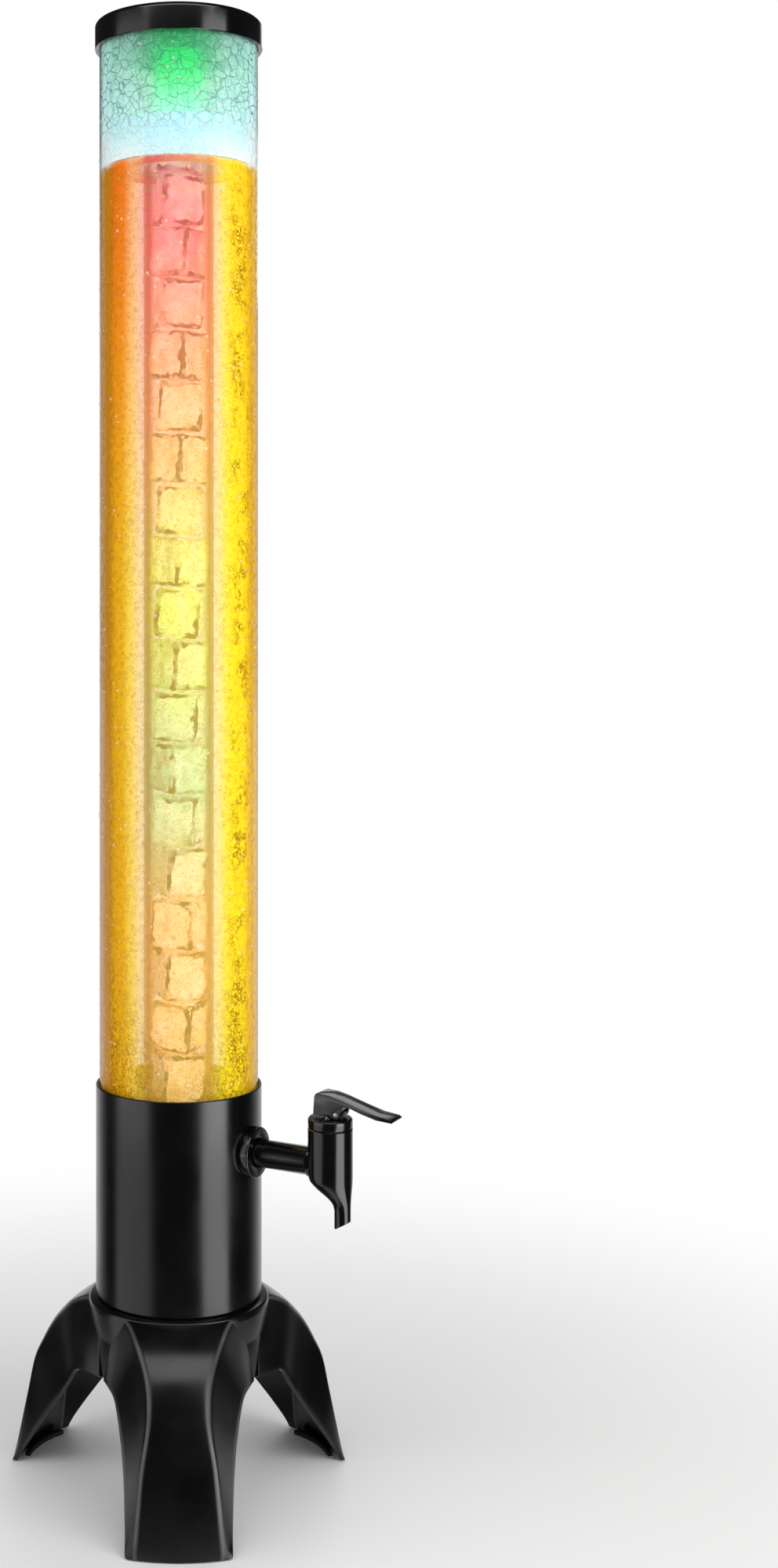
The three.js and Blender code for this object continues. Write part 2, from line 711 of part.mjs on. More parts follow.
function makeLamp() {
  const flangeBottom = cavityFloor + CLEARANCE;
  const domeBottom = plugBottom - LENS_DOME_DEPTH;
  const pocketBottom = lensFlangeTop - LENS_POCKET_DEPTH;
  const domeSteps = 5;
  const dome = Array.from({ length: domeSteps + 1 }, (_, step) => {
    const angle = (step * Math.PI) / 2 / domeSteps;
    return [LENS_RADIUS * Math.sin(angle), domeBottom + LENS_DOME_DEPTH * (1 - Math.cos(angle))];
  });
  const lens = turned(
    [
      [0, domeBottom],
      ...dome.slice(1),
      [LENS_RADIUS, flangeBottom],
      [LENS_RADIUS + LENS_FLANGE_WIDTH, flangeBottom],
      [LENS_RADIUS + LENS_FLANGE_WIDTH, lensFlangeTop],
      [LENS_POCKET_RADIUS, lensFlangeTop],
      [LENS_POCKET_RADIUS, pocketBottom],
      [0, pocketBottom],
    ],
    SMALL_SIDES,
  );
  const ledTop = boardBottom - CLEARANCE;
  const led = block(
    [-LED_WIDTH / 2, -LED_WIDTH / 2, ledTop - LED_HEIGHT],
    [LED_WIDTH / 2, LED_WIDTH / 2, ledTop],
  );
  const board = bar(BOARD_RADIUS, [0, 0, boardBottom], [0, 0, boardTop], MIDDLE_SIDES);
  const button = block(
    [-SWITCH_WIDTH / 2, -SWITCH_WIDTH / 2, switchTop - SWITCH_HEIGHT],
    [SWITCH_WIDTH / 2, SWITCH_WIDTH / 2, switchTop],
  );
  return group(
    piece("led_lens", lens, LAMP_GREEN),
    piece("led_chip", led, LAMP_GREEN),
    piece("circuit_board", board, BOARD_GREEN),
    piece("tactile_switch", button, BLACK_PLASTIC),
  );
}

// The cells lie in wells round the button's stem.
function makeBatteries() {
  const holderTop = cellBottom + CELL_HEIGHT + HOLDER_RIM;
  const holderRadius = CAVITY_RADIUS - CLEARANCE;
  const wellRadius = CELL_RADIUS + CLEARANCE;
  const stemHole = BUTTON_STEM_RADIUS + CLEARANCE;
  const cells = [];
  const wells = [];
  for (let index = 0; index < CELL_COUNT; index++) {
    const turn = (index * 2 * Math.PI) / CELL_COUNT;
    const place = [CELL_CIRCLE * Math.cos(turn), CELL_CIRCLE * Math.sin(turn)];
    const cell = bar(CELL_RADIUS, [...place, cellBottom], [...place, cellBottom + CELL_HEIGHT]);
    cells.push(piece("coin_cell_" + (index + 1), cell, STEEL));
    const wellFloor = cellBottom - CLEARANCE;
    wells.push(bar(wellRadius, [...place, wellFloor], [...place, holderTop + OVERRUN]));
  }
  const disc = ring(stemHole, holderRadius, holderBottom, holderTop, MIDDLE_SIDES);
  const holder = cut(disc, ...wells);
  return group(piece("battery_holder", holder, BLACK_PLASTIC), ...cells);
}

// Tap

// A loop of points round an upright axis.
function circle(place, radius, height) {
  return Array.from({ length: SMALL_SIDES }, (_, side) => {
    const angle = (side * 2 * Math.PI) / SMALL_SIDES;
    return new THREE.Vector3(place + radius * Math.cos(angle), radius * Math.sin(angle), height);
  });
}

function makeTapBody() {
  const barrel = bar(BARREL_RADIUS, [tapAxis, 0, barrelBottom], [tapAxis, 0, barrelTop]);
  const neckShares = [0, 0.2, 0.5, 0.8, 1];
  const neck = lofted(
    neckShares.map((share) =>
      circle(
        tapAxis + share * SPOUT_OFFSET,
        BARREL_RADIUS + share * (SPOUT_RADIUS - BARREL_RADIUS),
        barrelBottom - share * SPOUT_NECK,
      ),
    ),
  );
  const spoutBottom = spoutTop - SPOUT_LENGTH;
  const spout = lofted([
    circle(spoutAxis, SPOUT_RADIUS, spoutTop + CLEARANCE),
    circle(spoutAxis, SPOUT_RADIUS, spoutBottom).map((point) => {
      point.z += (SPOUT_SLANT * (point.x - spoutAxis)) / SPOUT_RADIUS / 2;
      return point;
    }),
  ]);
  const shank = bar(SHANK_RADIUS, [shankStart, 0, tapHeight], [tapAxis, 0, tapHeight]);
  const chamber = bar(chamberRadius, [tapAxis, 0, chamberFloor], [tapAxis, 0, barrelTop + OVERRUN]);
  const waterway = bar(WATERWAY_RADIUS, [shankStart - OVERRUN, 0, tapHeight], [tapAxis, 0, tapHeight]);
  const outlet = bar(SPOUT_BORE, [tapAxis, 0, chamberFloor + OVERRUN], [spoutAxis, 0, spoutTop - OVERRUN]);
  const low = spoutBottom - SPOUT_SLANT - OVERRUN;
  const mouth = bar(SPOUT_BORE, [spoutAxis, 0, low], [spoutAxis, 0, spoutTop]);
  const outside = join(barrel, neck, spout, shank);
  return piece("tap_body", cut(outside, chamber, waterway, outlet, mouth), BLACK_PLASTIC);
}

function makeTapFixings() {
  const hole = SHANK_RADIUS + CLEARANCE;
  const along = (x) => [x, 0, tapHeight];
  const clear = bar(hole, along(nutFace - OVERRUN), along(tapAxis));
  const low = tapHeight - COLLAR_RADIUS - OVERRUN;
  const high = tapHeight + COLLAR_RADIUS + OVERRUN;
  const saddle = ring(0, sleeveRadius + CLEARANCE, low, high);
  const collarFront = sleeveRadius + COLLAR_DEPTH;
  const collarStart = sleeveRadius - COLLAR_DEPTH;
  const collar = bar(COLLAR_RADIUS, along(collarStart), along(collarFront), WIDE_SIDES);
  const washer = bar(WASHER_RADIUS, along(washerFace), along(washerFace + WASHER_THICKNESS));
  const nut = bar(NUT_RADIUS, along(nutFace), along(nutFace + NUT_DEPTH), 6);
  return group(
    piece("tap_collar", cut(collar, saddle, clear), BLACK_PLASTIC),
    piece("tap_washer", cut(washer, clear), BLACK_RUBBER),
    piece("tap_nut", cut(nut, clear), BLACK_PLASTIC),
  );
}

function makeBonnet() {
  const stemHole = STEM_RADIUS + CLEARANCE;
  const plug = chamberRadius - CLEARANCE;
  const cap = turned(
    [
      [stemHole, bonnetPlugBottom],
      [plug, bonnetPlugBottom],
      [plug, bonnetBottom],
      [BARREL_RADIUS, bonnetBottom],
      [BARREL_RADIUS, bonnetTop - BONNET_EDGE],
      [BARREL_RADIUS - BONNET_EDGE, bonnetTop],
      [stemHole, bonnetTop],
    ],
    SMALL_SIDES,
    tapAxis,
  );
  const across = (half) => [
    [pivotAxis, -half, pivotHeight],
    [pivotAxis, half, pivotHeight],
  ];
  const lug = bar(LUG_RADIUS, ...across(LUG_HALF_WIDTH));
  const foot = block(
    [pivotAxis - LUG_RADIUS, -LUG_HALF_WIDTH, bonnetTop - BONNET_EDGE],
    [pivotAxis + LUG_RADIUS, LUG_HALF_WIDTH, pivotHeight],
  );
  const hole = bar(PIN_RADIUS + CLEARANCE, ...across(LUG_HALF_WIDTH + OVERRUN));
  const pin = bar(PIN_RADIUS, ...across(leverHalfWidth), TINY_SIDES);
  return group(
    piece("tap_bonnet", cut(join(cap, foot, lug), hole), BLACK_PLASTIC),
    piece("lever_pin", pin, STEEL),
  );
}

function makeLever() {
  const outline = leverShares.map(([out, high]) => [
    pivotAxis + out * LEVER_REACH,
    bonnetTop + high * LEVER_HEIGHT,
  ]);
  const arm = profile(outline, leverHalfWidth);
  const back = tapAxis - STEM_HEAD_RADIUS - CHEEK_WALL;
  const channel = block(
    [back, -cheekInside, bonnetTop - OVERRUN],
    [pivotAxis + LUG_RADIUS + 5 * CLEARANCE, cheekInside, bonnetTop + LEVER_HEIGHT - LEVER_ROOF],
  );
  const far = leverHalfWidth + OVERRUN;
  const hole = bar(PIN_RADIUS + CLEARANCE, [pivotAxis, -far, pivotHeight], [pivotAxis, far, pivotHeight]);
  const near = STEM_RADIUS + 2 * CLEARANCE;
  const fingers = [-1, 1].map((side) =>
    bar(
      FINGER_RADIUS,
      [tapAxis, side * near, fingerHeight],
      [tapAxis, side * (cheekInside + CHEEK_WALL / 2), fingerHeight],
      TINY_SIDES,
    ),
  );
  return piece("tap_lever", join(cut(arm, channel, hole), ...fingers), BLACK_PLASTIC);
}

function makeValve() {
  const stem = turned(
    [
      [0, seatTop + CLEARANCE],
      [STEM_RADIUS, seatTop + CLEARANCE],
      [STEM_RADIUS, stemHeadBottom],
      [STEM_HEAD_RADIUS, stemHeadBottom],
      [STEM_HEAD_RADIUS, stemHeadBottom + STEM_HEAD_HEIGHT],
      [0, stemHeadBottom + STEM_HEAD_HEIGHT],
    ],
    SMALL_SIDES,
    tapAxis,
  );
  const seat = turned(
    [
      [0, seatBottom],
      [SEAT_RADIUS - SPRING_WIRE, seatBottom],
      [SEAT_RADIUS, seatBottom + SPRING_WIRE],
      [SEAT_RADIUS, seatTop],
      [0, seatTop],
    ],
    SMALL_SIDES,
    tapAxis,
  );
  return group(piece("tap_stem", stem, STEEL), piece("tap_seat_cup", seat, BLACK_RUBBER));
}

// The spring's wire, turn after turn about the stem.
class Helix extends THREE.Curve {
  constructor(place, radius, low, high, turns) {
    super();
    Object.assign(this, { place, radius, low, high, turns });
  }

  getPoint(share, target = new THREE.Vector3()) {
    const angle = share * this.turns * 2 * Math.PI;
    const height = this.low + share * (this.high - this.low);
    return target.set(
      this.place + this.radius * Math.cos(angle),
      this.radius * Math.sin(angle),
      height,
    );
  }
}

function makeSpring() {
  const ends = SPRING_WIRE + 2 * CLEARANCE;
  const path = new Helix(tapAxis, SPRING_RADIUS, seatTop + ends, bonnetPlugBottom - ends, SPRING_TURNS);
  const wireSides = 5;
  const stepsPerTurn = 12;
  const wire = Array.from({ length: wireSides }, (_, side) => {
    const angle = (side * 2 * Math.PI) / wireSides;
    return new THREE.Vector2(SPRING_WIRE * Math.cos(angle), SPRING_WIRE * Math.sin(angle));
  });
  const steps = SPRING_TURNS * stepsPerTurn;
  const options = { steps, extrudePath: path, bevelEnabled: false };
  return piece("tap_spring", solid(new THREE.ExtrudeGeometry(new THREE.Shape(wire), options)), STEEL);
}

const stand = group(makeStand());
for (let index = 0; index < LEG_COUNT; index++) {
  stand.add(makeFootPad(index));
}
const tap = group(
  makeTapBody(),
  makeTapFixings(),
  makeBonnet(),
  makeLever(),
  makeValve(),
  makeSpring(),
);
const lamp = group(makeCap(), makeBatteryCover(), makeButton(), makeLamp(), makeBatteries());
const iceColumn = group(makeIceTube(), makeIce());
const tower = group(stand, makeReservoir(), makeTube(), makeBeer(), tap, makeLid(), lamp, iceColumn);

// The origin is on the floor, midway between the hind leg's and the lever's furthest reach.
const extent = new THREE.Box3().setFromObject(tower);
tower.position.x = -extent.getCenter(new THREE.Vector3()).x;

const part = new THREE.Group().add(tower);

export default part;
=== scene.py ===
"""Looks of the beer tower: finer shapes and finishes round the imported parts. Metres, +Z up."""
import json
import logging
import math
from dataclasses import dataclass
from enum import Enum
from typing import Callable, Sequence

import bmesh
import bpy
from mathutils import Matrix, Vector, noise

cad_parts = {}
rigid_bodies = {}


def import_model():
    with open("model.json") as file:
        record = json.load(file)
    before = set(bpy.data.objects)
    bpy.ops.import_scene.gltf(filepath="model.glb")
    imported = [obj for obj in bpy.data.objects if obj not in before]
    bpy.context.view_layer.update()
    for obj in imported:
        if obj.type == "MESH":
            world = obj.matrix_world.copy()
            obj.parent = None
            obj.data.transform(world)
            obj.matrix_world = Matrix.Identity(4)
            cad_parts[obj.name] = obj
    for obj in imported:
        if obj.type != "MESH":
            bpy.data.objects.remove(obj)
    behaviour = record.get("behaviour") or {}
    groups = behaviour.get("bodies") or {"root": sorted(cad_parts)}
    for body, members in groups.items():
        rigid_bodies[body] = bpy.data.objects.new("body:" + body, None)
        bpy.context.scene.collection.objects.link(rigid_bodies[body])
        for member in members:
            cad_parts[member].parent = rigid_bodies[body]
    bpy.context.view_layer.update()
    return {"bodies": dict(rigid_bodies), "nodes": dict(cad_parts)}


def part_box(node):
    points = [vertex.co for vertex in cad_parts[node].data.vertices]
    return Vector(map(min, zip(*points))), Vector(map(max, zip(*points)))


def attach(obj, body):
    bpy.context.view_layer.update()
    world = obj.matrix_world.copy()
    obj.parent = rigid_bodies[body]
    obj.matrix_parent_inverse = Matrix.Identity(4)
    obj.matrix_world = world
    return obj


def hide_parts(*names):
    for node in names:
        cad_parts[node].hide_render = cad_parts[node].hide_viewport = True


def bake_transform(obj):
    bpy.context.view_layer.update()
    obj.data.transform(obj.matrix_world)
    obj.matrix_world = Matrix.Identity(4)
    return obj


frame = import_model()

LOG = logging.getLogger("beer_tower")
Outline = Sequence[tuple[float, float]]
Stops = Sequence[tuple[float, str]]
Inputs = dict[str | int, object]
Range = tuple[float, float]
Object, Form = bpy.types.Object, bmesh.types.BMesh
POLE = 1e-6  # a ring with a smaller radius is one point
FINE, MEDIUM, SLIM = 160, 128, 96  # points round the pieces
ICE_HEIGHTS = (0.2, 0.9)  # where the painted lamp colours down the ice start and end
LAMP_HEIGHTS = (0.838, 0.888)  # where the lamp's painted glow starts, going up, and where it is full

# Tints that the finishes share.
STRAW, GOLD, HONEY, AMBER, LEMON = "f8dc60", "ffe048", "ecb818", "c48810", "f8ec28"
PEACH, ROSE, ORANGE, RUST = "f8b478", "f85880", "f07818", "c04c08"
MINT, LIME, AQUA, GREEN = "98dcb0", "c8ec48", "60dcc8", "10e464"


class Body(Enum):
    """The moving bodies of the tower."""

    TOWER = "tower"
    LEVER = "lever"
    PLUNGER = "plunger"
    LID = "lid"
    ICE_TUBE = "ice_tube"
    COVER = "battery_cover"
    BUTTON = "button"


class Slot(Enum):
    """The material slots of the record."""

    BLACK_PLASTIC = "black_plastic"
    BLACK_RUBBER = "black_rubber"
    CLEAR_PLASTIC = "clear_plastic"
    BEER = "beer"
    FOAM = "foam"
    ICE = "ice"
    STEEL = "steel"
    CIRCUIT_BOARD = "circuit_board"
    LED = "led"


def span(node: str) -> tuple[float, float, float]:
    """Bottom, top and radius of a round CAD node."""
    low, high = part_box(node)
    return low.z, high.z, (high.y - low.y) / 2


def middle_x(node: str) -> float:
    """X of the middle of a CAD node."""
    low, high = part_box(node)
    return (low.x + high.x) / 2


TOWER_X, TAP_X = middle_x("main_tube"), middle_x("tap_bonnet")


def linear(code: str) -> tuple[float, ...]:
    """Colour code such as "f0a030" as linear red, green, blue and alpha."""
    parts = [int(code[i : i + 2], 16) / 255 for i in (0, 2, 4)]
    return (*(p / 12.92 if p <= 0.04045 else ((p + 0.055) / 1.055) ** 2.4 for p in parts), 1.0)


# Meshes


def bend(first: Vector, corner: Vector, last: Vector, steps: int) -> list[Vector]:
    """Points on a curve from the first to the last that cuts the corner, one more than its steps."""
    shares = [step / steps for step in range(steps + 1)]
    return [first * (1 - s) ** 2 + corner * 2 * s * (1 - s) + last * s**2 for s in shares]


def round_corners(outline: Outline, radius: float, steps: int = 4) -> Outline:
    """Rounds the corners of a closed outline, apart from those on the axis.

    Args:
        outline: Points of radius and height.
        radius: How far the rounding reaches along each side.
        steps: Points on each rounding, less one.

    Returns:
        The longer outline.
    """
    made: list[tuple[float, float]] = []
    for index, point in enumerate(outline):
        if point[0] < POLE:
            made.append(point)
            continue
        corner = Vector(point)
        sides = [Vector(outline[(index + turn) % len(outline)]) - corner for turn in (-1, 1)]
        reach = min(radius, *(0.45 * side.length for side in sides))
        first, last = (corner + side.normalized() * reach for side in sides)
        made += [(place.x, place.y) for place in bend(first, corner, last, steps)]
    return made


def new_object(name: str, data: bpy.types.ID) -> Object:
    """Makes a linked object.

    Args:
        name: Its name.
        data: The mesh, light or camera that it holds.

    Returns:
        The object.
    """
    made = bpy.data.objects.new(name, data)
    bpy.context.scene.collection.objects.link(made)
    return made


def plain_object(name: str, form: Form) -> Object:
    """Turns a form into an object and frees it.

    Args:
        name: The object's name.
        form: The form.

    Returns:
        The object.
    """
    mesh = bpy.data.meshes.new(name)
    form.to_mesh(mesh)
    form.free()
    return new_object(name, mesh)


def smooth(obj: Object, sharp: float = 40.0) -> Object:
    """Shades an object smoothly, apart from its sharp edges.

    Args:
        obj: The object.
        sharp: The angle in degrees past which an edge stays sharp.

    Returns:
        The object.
    """
    obj.data.polygons.foreach_set("use_smooth", [True] * len(obj.data.polygons))
    obj.data.set_sharp_from_angle(angle=math.radians(sharp))
    return obj


def closed_object(name: str, form: Form) -> Object:
    """Turns a closed form into a smooth object with its faces outwards.

    Args:
        name: The object's name.
        form: The form, which is freed.

    Returns:
        The object.
    """
    bmesh.ops.remove_doubles(form, verts=form.verts, dist=1e-7)
    bmesh.ops.recalc_face_normals(form, faces=form.faces)
    return smooth(plain_object(name, form))


def skin(form: Form, rings: Sequence[Sequence[Vector]], wrap: bool = True, close: bool = False) -> None:
    """Lays faces between rings of points. A ring of one point is a pole.

    Args:
        form: The form that takes the faces.
        rings: The rings, in order.
        wrap: Whether a ring's last point joins its first.
        close: Whether the last ring joins the first.
    """
    rows = [[form.verts.new(point) for point in ring] for ring in rings]
    for near, far in list(zip(rows, rows[1:])) + ([(rows[-1], rows[0])] if close else []):
        count = max(len(near), len(far))
        for side in range(count if wrap else count - 1):
            after = (side + 1) % count
            if len(near) == 1:
                form.faces.new((near[0], far[after], far[side]))
            elif len(far) == 1:
                form.faces.new((near[side], near[after], far[0]))
            else:
                form.faces.new((near[side], near[after], far[after], far[side]))


def round_ring(x: float, radius: float, z: float, sides: int, slant: float = 0.0) -> list[Vector]:
    """Lays out a ring about an upright line, or one point if it has no radius.

    Args:
        x: Where the line stands.
        radius: The ring's radius.
        z: Its height.
        sides: Its points.
        slant: How much higher it is at its +X side.

    Returns:
        The points.
    """
    if radius < POLE:
        return [Vector((x, 0, z))]
    turns = [2 * math.pi * side / sides for side in range(sides)]
    places = [(radius * math.cos(t), radius * math.sin(t), slant * math.cos(t)) for t in turns]
    return [Vector((x + across, deep, z + up)) for across, deep, up in places]


def revolve(name: str, outline: Outline, corner: float = 0.0, sides: int = MEDIUM) -> Object:
    """Turns an outline about the tower's axis.

    Args:
        name: The object's name.
        outline: Points of radius and height. One that starts and ends on the axis isn't closed on itself.
        corner: How far its corners are rounded.
        sides: Points round.

    Returns:
        The object.
    """
    line = round_corners(outline, corner) if corner else outline
    form = bmesh.new()
    closed = max(line[0][0], line[-1][0]) >= POLE
    skin(form, [round_ring(TOWER_X, radius, z, sides) for radius, z in line], close=closed)
    return closed_object(name, form)


def settled(obj: Object, name: str) -> Object:
    """Makes a plain object of what an object's modifiers give, and removes the first.

    Args:
        obj: The object with modifiers.
        name: The new object's name.

    Returns:
        The new object.
    """
    view = bpy.context.evaluated_depsgraph_get()
    view.update()
    whole = obj.evaluated_get(view)
    mesh = bpy.data.meshes.new_from_object(whole, preserve_all_data_layers=True, depsgraph=view)
    mesh.transform(obj.matrix_world)
    obj.modifiers.clear()
    bpy.data.objects.remove(obj)
    mesh.name = name
    return smooth(new_object(name, mesh))


def soften(obj: Object, width: float, segments: int, angle: float) -> None:
    """Bevels an object's edges.

    Args:
        obj: The object.
        width: The bevel's width.
        segments: Its rows of faces.
        angle: The angle in degrees past which an edge is bevelled.
    """
    edges = obj.modifiers.new("edges", "BEVEL")
    edges.width, edges.segments, edges.limit_method = width, segments, "ANGLE"
    edges.angle_limit = math.radians(angle)


def dress(obj: Object, finish: "Finish", body: Body, *nodes: str) -> Object:
    """Gives a piece its finish, its body and the CAD nodes that it stands for.

    Args:
        obj: The piece.
        finish: Its finish.
        body: The body it rides on.
        nodes: CAD nodes that it replaces.

    Returns:
        The piece.
    """
    obj.data.materials.clear()
    obj.data.materials.append(finish.material())
    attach(obj, body.value)
    if nodes:
        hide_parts(*nodes)
    LOG.info("%s rides on %s", obj.name, body.value)
    return obj


def finer(node: str, name: str, bevel: float, finish: "Finish", body: Body) -> None:
    """Dresses a copy of a CAD node with merged corners and softened edges.

    Args:
        node: The CAD node.
        name: The piece's name.
        bevel: Width of the softened edges.
        finish: Its finish.
        body: The body it rides on.
    """
    form = bmesh.new()
    form.from_mesh(frame["nodes"][node].data)
    bmesh.ops.remove_doubles(form, verts=form.verts, dist=2e-6)
    bmesh.ops.dissolve_limit(form, angle_limit=math.radians(1), verts=form.verts, edges=form.edges)
    made = plain_object(name + "_plain", form)
    soften(made, bevel, 3, 32)
    dress(smooth(settled(made, name), 35), finish, body, node)


def pipe(node: str, name: str, bore: float, corner: float, finish: "Finish", body: Body, sides: int) -> None:
    """Builds and dresses a plain pipe in the place of a round CAD node.

    Args:
        node: The CAD node, which gives the pipe's outside and its ends.
        name: The piece's name.
        bore: The pipe's inner radius.
        corner: How far its corners are rounded.
        finish: Its finish.
        body: The body it rides on.
        sides: Points round.
    """
    bottom, top, radius = span(node)
    outline = [(bore, bottom), (radius, bottom), (radius, top), (bore, top)]
    dress(revolve(name, outline, corner, sides), finish, body, node)


# Nodes


class Value:
    """What a socket gives out. Sums and products with it add the nodes that work them out."""

    def __init__(self, graph: "Graph", socket: bpy.types.NodeSocket) -> None:
        """Keeps the socket and its graph."""
        self.graph, self.socket = graph, socket

    def __add__(self, other: "Value | float") -> "Value":
        """This plus another."""
        return self.graph.math("ADD", self, other)

    def __sub__(self, other: "Value | float") -> "Value":
        """This less another."""
        return self.graph.math("SUBTRACT", self, other)

    def __rsub__(self, other: float) -> "Value":
        """A plain number less this."""
        return self.graph.math("SUBTRACT", other, self)

    def __mul__(self, other: "Value | float") -> "Value":
        """This times another."""
        return self.graph.math("MULTIPLY", self, other)

    def clamped(self) -> "Value":
        """This, kept between 0 and 1."""
        self.socket.node.use_clamp = True
        return self

    def spread(self, low: float, high: float, to_low: float = 0.0, to_high: float = 1.0) -> "Value":
        """Maps this smoothly from one range to another.

        Args:
            low: Where the first range starts.
            high: Where it ends, which may be below its start.
            to_low: What its start becomes.
            to_high: What its end becomes.

        Returns:
            The mapped value.
        """
        ends = {"Value": self, "From Min": low, "From Max": high, "To Min": to_low, "To Max": to_high}
        return self.graph.node("ShaderNodeMapRange", ends, interpolation_type="SMOOTHSTEP")["Result"]


class Added:
    """A node in a graph. Its outputs are taken by name or number."""

    def __init__(self, graph: "Graph", node: bpy.types.Node) -> None:
        """Keeps the node and its graph."""
        self.graph, self.node = graph, node

    def __getitem__(self, output: str | int) -> Value:
        """The output of that name or number."""
        return Value(self.graph, self.node.outputs[output])


class Graph:
    """Builds the nodes of one tree."""

    def __init__(self, tree: bpy.types.NodeTree) -> None:
        """Keeps the tree and clears it."""
        self.tree = tree
        tree.nodes.clear()

    def node(self, kind: str, inputs: Inputs | None = None, **settings: object) -> Added:
        """Adds a node.

        Args:
            kind: The node's type.
            inputs: What goes into it, by name or number: values to link, numbers and colour codes.
            settings: Its own settings.

        Returns:
            The node.
        """
        made = self.tree.nodes.new(kind)
        for name, setting in settings.items():
            setattr(made, name, setting)
        for key, value in (inputs or {}).items():
            socket = made.inputs[key]
            if isinstance(value, Value):
                self.tree.links.new(value.socket, socket)
            else:
                coded = socket.type == "RGBA" and isinstance(value, str)
                socket.default_value = linear(value) if coded else value
        return Added(self, made)

    def math(self, kind: str, first: object, second: object = 0.0) -> Value:
        """One step of arithmetic, such as MAXIMUM."""
        return self.node("ShaderNodeMath", {0: first, 1: second}, operation=kind)[0]

    def vector(self, kind: str, *inputs: object, output: str | int = 0) -> Value:
        """One step of arithmetic with vectors."""
        return self.node("ShaderNodeVectorMath", dict(enumerate(inputs)), operation=kind)[output]

    def where(self) -> Value:
        """The place of a point in the object's own frame."""
        return self.node("ShaderNodeTexCoord")["Object"]

    def facing(self) -> Value:
        """How far a surface is turned from the eye, from 0 to 1."""
        return self.node("ShaderNodeLayerWeight", {"Blend": 0.5})["Facing"]

    def clouds(self, scale: object, detail: float, output: str = "Fac") -> Value:
        """A soft noise."""
        inputs = {"Vector": self.where(), "Scale": scale, "Detail": detail}
        return self.node("ShaderNodeTexNoise", inputs)[output]

    def mark(self, name: str) -> Value:
        """An attribute of the mesh."""
        return self.node("ShaderNodeAttribute", attribute_name=name)["Fac"]

    def group(self, name: str, **inputs: object) -> Added:
        """Places a shared group, with underscores for the spaces in its inputs' names."""
        named = {label.replace("_", " "): value for label, value in inputs.items()}
        return self.node("ShaderNodeGroup", named, node_tree=group_tree(name))

    def blend(self, share: object, first: object, second: object, kind: str = "MIX") -> Value:
        """Mixes two colours."""
        inputs = {0: share, 6: first, 7: second}
        return self.node("ShaderNodeMix", inputs, data_type="RGBA", blend_type=kind)[2]

    def bump(self, height: Value, strength: float, distance: float) -> Value:
        """A normal that a height bends."""
        inputs = {"Height": height, "Strength": strength, "Distance": distance}
        return self.node("ShaderNodeBump", inputs)["Normal"]

    def ramp(self, value: Value, stops: Stops) -> Value:
        """Runs along a ramp of colours.

        Args:
            value: What runs along the ramp.
            stops: Places from 0 to 1 with their colour codes.

        Returns:
            The colour.
        """
        made = self.node("ShaderNodeValToRGB", {"Fac": value})
        made.node.color_ramp.interpolation = "EASE"
        elements = made.node.color_ramp.elements
        while len(elements) < len(stops):
            elements.new(0.5)
        for element, (place, _) in zip(elements, stops):
            element.position = place
        for element, (_, code) in zip(elements, stops):
            element.color = linear(code)
        return made["Color"]


def build_place(graph: Graph, given: Added) -> dict[str, Value]:
    """Finds where a point lies: across the tower, its height and its distance from the axis.

    Args:
        graph: The group's graph.
        given: The group's inputs.

    Returns:
        The group's outputs.
    """
    parts = graph.node("ShaderNodeSeparateXYZ", {0: graph.where()})
    x, y = parts["X"] - given["Axis X"], parts["Y"]
    turn = given["Turn"]
    return {
        "Across": x * graph.math("COSINE", turn) + y * graph.math("SINE", turn),
        "Height": parts["Z"],
        "Radius": graph.math("SQRT", x * x + y * y),
    }


def build_grain(graph: Graph, given: Added) -> dict[str, Value]:
    """Makes the fine unevenness of a moulded surface, with scattered dust.

    Args:
        graph: The group's graph.
        given: The group's inputs.

    Returns:
        The group's outputs.
    """
    cells = {"Vector": graph.where(), "Scale": given["Scale"] * 0.35}
    specks = graph.node("ShaderNodeTexVoronoi", cells)["Distance"]
    return {
        "Grain": graph.clouds(given["Scale"], 3.0),
        "Patches": graph.clouds(given["Patch Scale"], 4.0).spread(0.3, 0.7),
        "Dust": specks.spread(0.09, 0.03),
    }


def build_drops(graph: Graph, given: Added) -> dict[str, Value]:
    """Makes condensation: round droplets, and the net of lines where they run together.

    Args:
        graph: The group's graph.
        given: The group's inputs.

    Returns:
        The group's outputs.
    """
    sway = 0.006
    shifted = graph.vector("SUBTRACT", graph.where(), (sway / 2,) * 3)
    bent = graph.vector("MULTIPLY_ADD", graph.clouds(120.0, 2.0, "Color"), (sway,) * 3, shifted)
    cells = {"Vector": bent, "Scale": given["Scale"]}
    distance = graph.node("ShaderNodeTexVoronoi", cells)["Distance"]
    distance = graph.math("DIVIDE", distance, given["Size"])
    cells["Scale"] = given["Scale"] * 0.6
    lines = graph.node("ShaderNodeTexVoronoi", cells, feature="DISTANCE_TO_EDGE")["Distance"]
    return {
        "Drops": distance.spread(1.0, 0.2),
        "Rims": distance.spread(0.6, 0.9) * distance.spread(1.3, 1.0),
        "Net": lines.spread(0.07, 0.01),
    }


def build_lamp_tint(graph: Graph, given: Added) -> dict[str, Value]:
    """Finds the lamp's colour painted down the column of ice, and how strong the lamp's painted glow is.

    Args:
        graph: The group's graph.
        given: The group's inputs.

    Returns:
        The group's outputs.
    """
    height = given["Height"]
    ends = {"Value": height, "From Min": ICE_HEIGHTS[0], "From Max": ICE_HEIGHTS[1]}
    share = graph.node("ShaderNodeMapRange", ends)["Result"]
    stops = (
        (0.0, HONEY), (0.2, PEACH), (0.34, MINT), (0.5, LIME), (0.68, PEACH), (0.85, ROSE),
        (0.93, AQUA), (0.97, GREEN),
    )
    return {"Color": graph.ramp(share, stops), "Strength": height.spread(*LAMP_HEIGHTS)}


